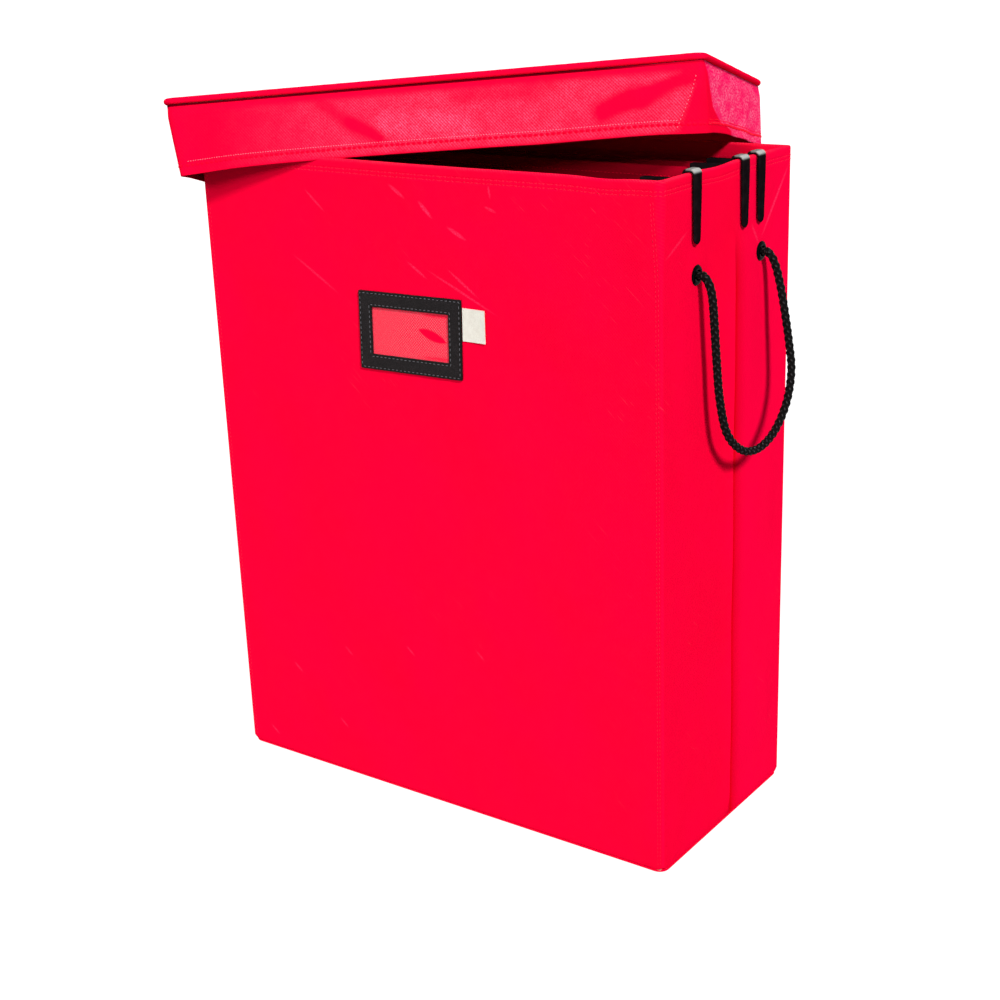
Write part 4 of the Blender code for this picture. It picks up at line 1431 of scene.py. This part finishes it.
def build_eyelet(tail, side, end):
    """The flanged ring of an eyelet, and the washer behind the wall."""
    washer_top = -wall_thickness - seat_gap
    washer_foot = -wall_thickness - 2 * seat_gap - washer_thickness
    levels = {
        "flange": seat_gap + flange_thickness, "panel": seat_gap, "washer": washer_foot,
        "lip": washer_foot - lip_thickness, "top": washer_top, "bottom": washer_top - washer_thickness,
    }
    place = (side * half_width, end * eyelet_place_y, eyelet_height)
    pieces = []
    for name, section in (("eyelet_ring", eyelet_section), ("washer_ring", washer_section)):
        profile = [(radius, levels[level] + rise) for radius, level, rise in section]
        pieces.append(turned(name + tail, profile, place, (side, 0, 0), black_enamel))
    return pieces


def knot_route(side, end):
    """Rope from the hinge line through the eyelet into a knot behind it."""
    turns = np.linspace(0, 1, knot_places)
    near, far = half_width - knot_near, half_width - knot_far
    swell = knot_turn_radius * np.sin(np.pi * turns) ** knot_swell_power
    angle = turns * knot_turns * math.tau
    coil = np.column_stack([near + (far - near) * turns, swell * np.cos(angle), swell * np.sin(angle)])
    straight = [(half_width + out, 0, 0) for out in (rope_axis_out, 0.0, -knot_neck)]
    places = np.concatenate([straight, coil[2:-2:knot_stride], [(far - knot_tail, 0, 0)]])
    return places * (side, 1, 1) + (0, end * eyelet_place_y, eyelet_height)


def build_ropes():
    """Both loops, and at each of their ends the eyelet, the washer and the knot."""
    for side_name, side in SIDES:
        start = half_width + rope_axis_out
        points = [(side * (start + out - rope_route[0][0]), along, z) for out, along, z in rope_route]
        route = smooth_route(points, rope_ring_step)
        loop = braided_tube("rope_loop_" + side_name, route, rope_radius, rope_yarn)
        attach(loop, "handle_" + side_name, "black_rope", "rope_handle_" + side_name)
        for end_name, end in ENDS:
            tail = "_" + side_name + "_" + end_name
            for piece, node in zip(build_eyelet(tail, side, end), ("eyelet", "washer")):
                attach(piece, "box", "black_metal", node + tail)
            knot = smooth_route(knot_route(side, end), rope_ring_step)
            stub = braided_tube("rope_knot" + tail, knot, knot_rope_radius, rope_yarn)
            attach(stub, "box", "black_rope", "rope_end" + tail)


# Hooks

def hook_line():
    """Middle of the strap in distance out and height, from the outer tip over the rim to its inner end."""
    outer = half_width + seat_gap + hook_stand_off + hook_thickness / 2
    inner = half_width - hem_wall - seat_gap - hook_thickness / 2
    top = rim_height + seat_gap + hook_thickness / 2
    bend = hook_bend_radius
    leg_top = top - bend - hook_bend_margin
    outer_places, inner_places = hook_leg_places
    line = [(outer, z) for z in np.linspace(rim_height - hook_outer_drop, leg_top, outer_places)]
    line += arc((outer - bend, top - bend), bend, 0, 90, 8)
    line += arc((inner + bend, top - bend), bend, 90, 180, 8)
    line += [(inner, z) for z in np.linspace(leg_top, rim_height - hook_inner_drop, inner_places)]
    return np.array(line)


def build_hook_strap(name, side, place_y):
    """Flat strap with a rounded tip, bent over the rim, a little thinner towards the tip."""
    line = hook_line()
    run = np.concatenate([[0], np.cumsum(np.linalg.norm(np.diff(line, axis=0), axis=1))])
    tangent = np.gradient(line, axis=0)
    tangent /= np.linalg.norm(tangent, axis=1)[:, None]
    normal = np.column_stack([tangent[:, 1], -tangent[:, 0]])
    growth = smooth_step(0.0, hook_taper_reach, run)
    half = (hook_tip_width + (hook_width - hook_tip_width) * growth) / 2
    from_tip = np.minimum(run / half, 1.0)
    half = half * np.sqrt(np.maximum(1 - (1 - from_tip) ** 2, hook_tip_least))
    thick = (hook_tip_thickness + (hook_thickness - hook_tip_thickness) * growth) / 2
    section = []
    for across, up, start in ((1, 1, 0), (-1, 1, 90), (-1, -1, 180), (1, -1, 270)):
        section += [(across, up, math.radians(start + step)) for step in (0, 30, 60, 90)]
    across, up, angle = (np.array(part)[None, :] for part in zip(*section))
    round_across = np.minimum(hook_edge_round, half * hook_edge_share)[:, None]
    width = across * (half[:, None] - round_across) + np.cos(angle) * round_across
    height = up * (thick[:, None] - hook_edge_round) + np.sin(angle) * hook_edge_round
    out = line[:, :1] + normal[:, :1] * height
    z = line[:, 1:] + normal[:, 1:] * height
    grid = np.stack([side * out, place_y + width, z], -1)
    uv = uv_grid(np.linspace(0, 2 * (hook_width + hook_thickness), len(section) + 1), run)
    # Painted highlight: pale grey on the outward face where the strap bends over the rim
    outward = np.sign(up) > 0
    turn, face_lean = (np.where(outward, normal[:, axis:axis + 1], 0.0) for axis in (1, 0))
    bend = hook_bend_gleam * smooth_step(*hook_gleam_turn, turn) * smooth_step(*hook_gleam_lean, face_lean)
    return grid_object(name, grid, uv, hook_black, caps=True, masks={"bend": bend})


def build_hook_clip(name, side, place_y):
    """Slotted clip on the inner leg, which grips the divider's upper corner."""
    half_slot = (divider_thickness + 2 * seat_gap) / 2
    leg = half_width - hem_wall - seat_gap - hook_thickness + hook_thickness / 2
    top = rim_height - divider_top_drop + seat_gap + clip_web

    def across(half):
        return place_y - half, place_y + half

    block = ((leg - clip_reach, leg), across(half_slot + clip_cheek), (top - clip_height, top))
    slot_out = (clip_slot_start, divider_half_width + seat_gap)
    slot = (slot_out, across(half_slot), (top - 2 * clip_height, top - clip_web))
    clip = solid_block(name, *block, side)
    carve(clip, solid_block(name + "_slot", *slot, side))
    edge = clip.modifiers.new("edge", "BEVEL")
    edge.width = clip_round
    edge.segments = 3
    edge.angle_limit = math.radians(bevel_limit_degrees)
    apply_modifiers(clip)
    clip.data.materials.append(hook_black)
    clip.data.shade_smooth()
    clip.data.set_sharp_from_angle(angle=math.radians(sharp_degrees))
    return clip


def solid_block(name, out, along, height, side):
    """A block between distances out, places along the side and heights."""
    mesh = bpy.data.meshes.new(name)
    builder = bmesh.new()
    bmesh.ops.create_cube(builder, size=1.0)
    for vertex in builder.verts:
        x, y, z = (ends[0] if part < 0 else ends[1] for part, ends in zip(vertex.co, (out, along, height)))
        vertex.co = (side * x, y, z)
    bmesh.ops.recalc_face_normals(builder, faces=builder.faces)
    builder.to_mesh(mesh)
    builder.free()
    item = bpy.data.objects.new(name, mesh)
    bpy.context.scene.collection.objects.link(item)
    return item


# Dividers

def build_divider(number):
    """Fabric over board with a bound edge, a line of stitches inside the binding."""
    low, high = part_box("divider_" + str(number))
    half_x, half_z = (high.x - low.x) / 2, (high.z - low.z) / 2
    centre = ((low.x + high.x) / 2, (low.y + high.y) / 2, (low.z + high.z) / 2)
    columns = columns_round(half_x, half_z, divider_corner_radius, corner_steps=8)
    half = divider_thickness / 2
    edge = [(binding_width, half - binding_step), (binding_width - binding_slope, half)]
    edge += [(depth, half * share) for depth, share in divider_edge]
    edge += [(depth, -level) for depth, level in edge[-2::-1]]
    rings = plate_rings(columns, half_x, half_z, divider_corner_radius, edge)
    grid = np.stack([rings[..., 0] + centre[0], centre[1] - rings[..., 2], rings[..., 1] + centre[2]], -1)
    panel = grid_object("divider_panel_" + str(number), grid, flat_uv(rings), divider_red, caps=True)

    sewing = Stitches()
    inset = binding_width - binding_sewing_inset
    points, _ = outline(*columns, half_x - inset, half_z - inset, binding_sewing_radius)
    points = np.concatenate([points, points[:1]])
    for facing in (-1, 1):
        face_y = np.full(len(points), centre[1] + facing * half)
        places = np.column_stack([points[:, 0] + centre[0], face_y, points[:, 1] + centre[2]])
        normals = np.tile((0.0, facing, 0.0), (len(places), 1))
        sewing.run(places, normals, stitch_pitch, stitch_length, divider_stitch_radius)
    return panel, sewing.build("divider_stitching_" + str(number), deep_thread)


def build_dividers():
    """The three hanging panels, each with its stitches, two straps, two clips and two rivets."""
    for number in (1, 2, 3):
        node = f"divider_{number}"
        panel, stitches = build_divider(number)
        attach(panel, node, "red_fabric", node)
        attach(stitches, node, "red_fabric")
        low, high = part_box(node)
        place_y = (low.y + high.y) / 2
        for side_name, side in SIDES:
            tail = f"{side_name}_{number}"
            for name, build in (("hook_strap_", build_hook_strap), ("hook_clip_", build_hook_clip)):
                attach(build(name + tail, side, place_y), node, "black_plastic", "hook_" + tail)
            dress_nodes(black_enamel, [f"rivet_{tail}"])


# Lid

def lid_matrix():
    """Place and tilt of the lid as it lies on the rim."""
    angles = [math.radians(angle) for angle in lid_tilt_degrees]
    return Matrix.Translation(lid_place) @ Euler(angles).to_matrix().to_4x4()


def dart_place(fall):
    """Distance along the lid of the stitched dart in the near right corner, at a distance below the top."""
    return dart_top - dart_slope * fall


def skirt_surface(segment, share, down, inset):
    """Points and normals of the sewn band, down from the welt to the hem."""
    half_x, half_y = lid_length / 2 - skirt_setback, lid_depth / 2 - skirt_setback
    radii = skirt_top_radii + (skirt_hem_radii - skirt_top_radii) * down ** skirt_flare_power
    points, normals = outline(segment, share, half_x, half_y, radii)
    x, y = points[:, 0], points[:, 1]
    fall = down * lid_height
    right = (x / half_x + 1) / 2
    back = (y / half_y + 1) / 2
    near_left = (1 - right) * (1 - back)
    far_left = (1 - right) * back
    droop = ((1 - right) ** droop_power + right ** droop_power) * (1 - back) ** droop_power
    along = x * np.abs(normals[:, 1]) + (y + half_x) * np.abs(normals[:, 0])
    shear_down, shear_back = skirt_ripple_shears
    field = ripple(along, shear_down * fall + y * shear_back, SEEDS["skirt"], skirt_ripple_length)
    billow = skirt_ripple * field * down ** skirt_ripple_power
    fade_in, fade_out = (smooth_step(*fade, down) for fade in dart_fades)
    pleat = dart_height * bell(dart_place(fall) - x, dart_spread) * fade_in * (1 - fade_out)
    billow = billow + np.where(segment == FRONT, pleat, 0.0)
    groove = sum(bell((1 - down) * lid_height - row, groove_spread) for row in skirt_hem_rows)
    tuck = skirt_tuck * (1 - smooth_step(0.0, skirt_tuck_reach, fall))
    out = np.minimum(billow, skirt_proud) - groove_depth * skirt_groove_share * groove - inset - tuck
    top = -2 * welt_radius - seat_gap
    right_spread, back_spread = hem_left_sag_spreads
    sag = hem_front_sag * (1 - back) * (1 - smooth_step(*hem_front_sag_fade, right))
    sag = sag + hem_left_sag * bell(right, right_spread) * bell(back - hem_left_sag_back, back_spread)
    z = top + (-lid_height - hem_corner_droop * droop - sag - top) * down
    place = points + normals * out[:, None]
    place = place + np.column_stack([near_left * hem_corner_pull, far_left * hem_back_swing]) * down
    return np.column_stack([place, z]), np.column_stack([normals, np.zeros(len(points))])


def skirt_marks(segment, share, x, y, down, outer):
    """Where the band is pale, pinker with painted sheen, or dark with painted shadow under the welt: plain in
    strokes and by the near right corner.
    """
    fall = down * lid_height
    over_hem = lid_height - fall
    normal_x = outline(segment, share, lid_length / 2, lid_depth / 2, skirt_hem_radii)[1][:, 0]
    pale = skirt_pale * smooth_step(*skirt_pale_fade, x)
    drift = mark_drift * ripple(x, fall, SEEDS["marks"], mark_drift_length)
    for start, end, half, change in skirt_strokes:
        pale = pale + change * stroke(x, fall + drift, start, end, half) * (y < 0)
    # Painted sheen on the right end of the skirt
    past_edge = y - np.interp(fall, sheen_falls, sheen_edges)
    bloom = smooth_step(*sheen_turn, normal_x) * smooth_step(*sheen_fade, past_edge)
    plain_corner = smooth_step(*corner_mark_fade, x - dart_place(fall)) * (y < 0) * (1 - bloom)
    pale = pale * (1 - plain_corner) * (1 - sheen_pale_share * bloom)
    hem_band = sum(strength * bell(over_hem - row, spread) for row, spread, strength in hem_marks)
    pale = np.clip(pale, 0, 1) * (1 - np.clip(hem_band, 0, 1)) * smooth_step(*skirt_top_fade, fall)
    # Painted shadow under the welt, down to the crease
    crease = 1 - smooth_step(crease_height - crease_edge, crease_height + crease_edge, fall)
    return {
        "pale": np.clip(pale, 0, 1) * outer,
        "bloom": bloom * outer,
        "crease": crease * outer * (1 - crease_end_share * smooth_step(*crease_end_fade, x)),
    }


def dart_line():
    """Places and normals down the stitched dart."""
    places, normals = [], []
    for fall in np.linspace(dart_start, lid_height - dart_margin, dart_places):
        down = fall / lid_height
        near_end = skirt_surface(np.array([FRONT, FRONT]), np.array([0.0, 1.0]), down, 0.0)[0][:, 0]
        share = np.clip((dart_place(fall) - near_end[0]) / (near_end[1] - near_end[0]), 0, 1)
        place, normal = skirt_surface(np.array([FRONT]), np.array([share]), down, 0.0)
        places.append(place[0])
        normals.append(normal[0])
    return np.array(places), np.array(normals)


def skirt_rows():
    """Share of the way down, inset and drop of each ring: down outside, round the hem and up inside."""
    crease, hem_start = crease_height / lid_height, 1 - hem_height / lid_height
    ends = (0.0, *(crease * share for share in crease_band), hem_start, 1.0)
    spans = zip(ends, ends[1:], skirt_row_counts)
    downs = np.concatenate([np.linspace(low, high, count)[:-1] for low, high, count in spans])
    half = skirt_thickness / 2
    rows = [(down, 0.0, 0.0) for down in downs]
    rows += [(1.0, half * (1 - math.cos(a)), half * math.sin(a) - half) for a in np.linspace(0, math.pi, 7)]
    return rows + [(down, skirt_thickness, 0.0) for down in downs[::-1]]


def build_skirt(columns):
    """The sewn band, and the way round it."""
    rows = skirt_rows()
    surface = []
    for down, inset, drop in rows:
        place, _ = skirt_surface(*columns, down, inset)
        place[:, 2] -= drop
        surface.append(place)
    grid = np.array(surface)
    downs = np.array([down for down, _, _ in rows])[:, None]
    along = np.array([ring_lengths(row) for row in grid])
    around = float(along[0, -1])
    along = along - along[:, np.count_nonzero(columns[0] == FRONT) // 2][:, None]
    uv = np.stack([along, np.broadcast_to(-downs * lid_height, along.shape)], -1)
    uv = np.concatenate([uv, uv[:1]])
    # The inside mask paints shade on the skirt's inner face
    inside = np.array([float(inset > skirt_thickness * skirt_inside_share) for _, inset, _ in rows])[:, None]
    inside = np.broadcast_to(inside, grid.shape[:2])
    masks = {"inside": inside, **skirt_marks(*columns, grid[..., 0], grid[..., 1], downs, 1 - inside)}
    return grid_object("lid_skirt_band", grid, uv, lid_red, masks=masks), around


def build_skirt_sewing(columns, matrix):
    """The rows over the hem, plain and pale, and the pale dart."""
    deep_rows, pale_rows = Stitches(), Stitches()
    for row, pitch, length, radius, rise in skirt_sewing:
        places, normals = skirt_surface(*columns, 1 - row / lid_height, 0.0)
        x = places[:, 0]
        on_pale = (columns[0] == FRONT) & (x > pale_row_start) & (x < dart_place(lid_height - row))
        if row == skirt_hem_rows[1]:
            pale_rows.run(places[on_pale], normals[on_pale], pitch, length, radius, rise=rise)
            rest = np.roll(np.arange(len(places)), -1 - np.flatnonzero(on_pale)[-1])[:-on_pale.sum()]
        else:
            rest = np.append(np.arange(len(places)), 0)
        deep_rows.run(places[rest], normals[rest], pitch, length, radius, rise=rise)
    pale_rows.run(*dart_line(), *dart_sewing)
    return [
        deep_rows.build("lid_stitching", deep_thread, matrix),
        pale_rows.build("lid_fine_stitching", pale_thread, matrix),
    ]


def build_cover(columns):
    """The lid's top, crowned and a little uneven inside its welt."""
    inset = 2 * welt_radius + seat_gap
    half_x, half_y = lid_length / 2 - inset, lid_depth / 2 - inset
    radii = np.maximum(lid_corner_radii - inset, plate_least_radius)
    rings = plate_rings(columns, half_x, half_y, radii, soft_edge(-cover_thickness, 0.0))
    x, y, z = (rings[..., axis] for axis in range(3))
    crown = smooth_step(0, cover_crown_reach, half_x - np.abs(x))
    crown = crown * smooth_step(0, cover_crown_reach, half_y - np.abs(y))
    rise = (cover_crown + cover_wave * ripple(x, y, SEEDS["cover"], cover_wave_length)) * crown
    rings[..., 2] += np.where(z > -cover_thickness / 2, rise, 0.0)
    return grid_object("lid_cover", rings, flat_uv(rings), lid_red, caps=True)


def build_welt(columns):
    """The piping round the top edge, with small dents along it."""
    half_x, half_y = lid_length / 2 - welt_radius, lid_depth / 2 - welt_radius
    points, normals = outline(*columns, half_x, half_y, lid_corner_radii - welt_radius)
    theta = np.arange(welt_sides) * math.tau / welt_sides
    field = ripple(points[:, 0], points[:, 1], SEEDS["welt"], welt_dent_length)
    swell = welt_radius * (1 - welt_dent * (1 + field) / 2)
    across = normals[None, :, :] * np.cos(theta)[:, None, None] * swell[None, :, None]
    rise = np.sin(theta)[:, None] * swell[None, :]
    grid = np.concatenate([points[None] + across, (rise - welt_radius)[..., None]], axis=-1)
    uv = uv_grid(ring_lengths(points), np.arange(welt_sides + 1) * math.tau * welt_radius / welt_sides)
    return grid_object("lid_piping", grid, uv, lid_red)


def build_lid():
    """The lid's pieces, built flat and then laid askew on the rim."""
    def places_on_run(_, length):
        return spaced(length, [], 0.0, side_grid_step)

    matrix = lid_matrix()
    columns = columns_round(lid_length / 2, lid_depth / 2, lid_corner_radii[0], places_on_run, 8)
    skirt, around = build_skirt(columns)
    sewing_pieces = build_skirt_sewing(columns, matrix)
    cover = build_cover(columns)
    welt = build_welt(columns)
    for piece in (skirt, cover, welt):
        piece.data.transform(matrix)
    skirts = ("lid_skirt_front", "lid_skirt_back", "lid_skirt_left", "lid_skirt_right")
    attach(skirt, "lid", "red_lid_fabric", *skirts)
    attach(cover, "lid", "red_lid_fabric", "lid_top_fabric")
    attach(welt, "lid", "red_lid_fabric", "lid_welt")
    for piece in sewing_pieces:
        attach(piece, "lid", "red_lid_fabric")


# Light, floor and camera

def seen_share(tree):
    """One for a ray that shows the background, straight, in a reflection or through a clear piece."""
    path = tree.nodes.new("ShaderNodeLightPath")
    total = path.outputs["Is Camera Ray"]
    for output in ("Is Glossy Ray", "Is Transmission Ray"):
        most = tree.nodes.new("ShaderNodeMath")
        most.operation = "MAXIMUM"
        tree.links.new(total, most.inputs[0])
        tree.links.new(path.outputs[output], most.inputs[1])
        total = most.outputs[0]
    return total


def stage_material(name, tone, glow):
    """White seen straight or in a reflection, with a faint shadow of the object."""
    material = bpy.data.materials.new(name)
    material.use_nodes = True
    tree = material.node_tree
    surface = tree.nodes["Principled BSDF"]
    surface.inputs["Base Color"].default_value = (tone, tone, tone, 1.0)
    surface.inputs["Roughness"].default_value = floor_roughness
    surface.inputs["Specular IOR Level"].default_value = 0.0
    surface.inputs["Emission Color"].default_value = (1.0, 1.0, 1.0, 1.0)
    scaled = tree.nodes.new("ShaderNodeMath")
    scaled.operation = "MULTIPLY"
    scaled.inputs[1].default_value = glow
    tree.links.new(seen_share(tree), scaled.inputs[0])
    tree.links.new(scaled.outputs[0], surface.inputs["Emission Strength"])
    return material


def build_floor():
    """Plain pale floor under the box."""
    mesh = bpy.data.meshes.new("floor")
    half = floor_size / 2
    corners = [(-half, -half, 0), (half, -half, 0), (half, half, 0), (-half, half, 0)]
    mesh.from_pydata(corners, [], [(0, 1, 2, 3)])
    mesh.materials.append(stage_material("floor_white", floor_tone, floor_glow))
    floor = bpy.data.objects.new("floor", mesh)
    bpy.context.scene.collection.objects.link(floor)
    floor.location.z = -floor_drop


def build_world():
    """White background that lights the object a little."""
    world = bpy.data.worlds.new("studio")
    world.use_nodes = True
    tree = world.node_tree
    background = tree.nodes["Background"]
    background.inputs["Color"].default_value = (1.0, 1.0, 1.0, 1.0)
    level = tree.nodes.new("ShaderNodeMapRange")
    level.inputs["To Min"].default_value = sky_level
    level.inputs["To Max"].default_value = 1.0
    tree.links.new(seen_share(tree), level.inputs["Value"])
    tree.links.new(level.outputs[0], background.inputs["Strength"])
    bpy.context.scene.world = world


def lamp(name, azimuth_degrees, elevation_degrees, strength, angle_degrees):
    """A soft sun, whose azimuth is counted from the front towards the right end."""
    light = bpy.data.lights.new(name, "SUN")
    light.energy = strength
    light.angle = math.radians(angle_degrees)
    item = bpy.data.objects.new(name, light)
    azimuth, elevation = math.radians(azimuth_degrees), math.radians(elevation_degrees)
    toward = Vector((
        math.sin(azimuth) * math.cos(elevation),
        -math.cos(azimuth) * math.cos(elevation),
        math.sin(elevation),
    ))
    item.rotation_euler = toward.to_track_quat("Z", "Y").to_euler()
    bpy.context.scene.collection.objects.link(item)


def build_camera():
    """The camera at the photograph's viewing angle."""
    camera = bpy.data.cameras.new("camera")
    camera.lens = camera_lens
    camera.sensor_width = camera_sensor
    item = bpy.data.objects.new("camera", camera)
    turn = Matrix.Rotation(math.radians(camera_yaw_degrees), 4, "Z")
    tilt = Matrix.Rotation(math.radians(90 - camera_pitch_degrees), 4, "X")
    roll = Matrix.Rotation(math.radians(camera_roll_degrees), 4, "Z")
    item.matrix_world = Matrix.Translation(camera_place) @ turn @ tilt @ roll
    bpy.context.scene.collection.objects.link(item)
    bpy.context.scene.camera = item


build_camera()
build_floor()
build_world()
for lamp_values in LAMPS:
    lamp(*lamp_values)
build_ropes()
build_box()
build_dividers()
build_lid()
dress_nodes(card, BOARDS)

scene = bpy.context.scene
scene.view_settings.view_transform = "Standard"
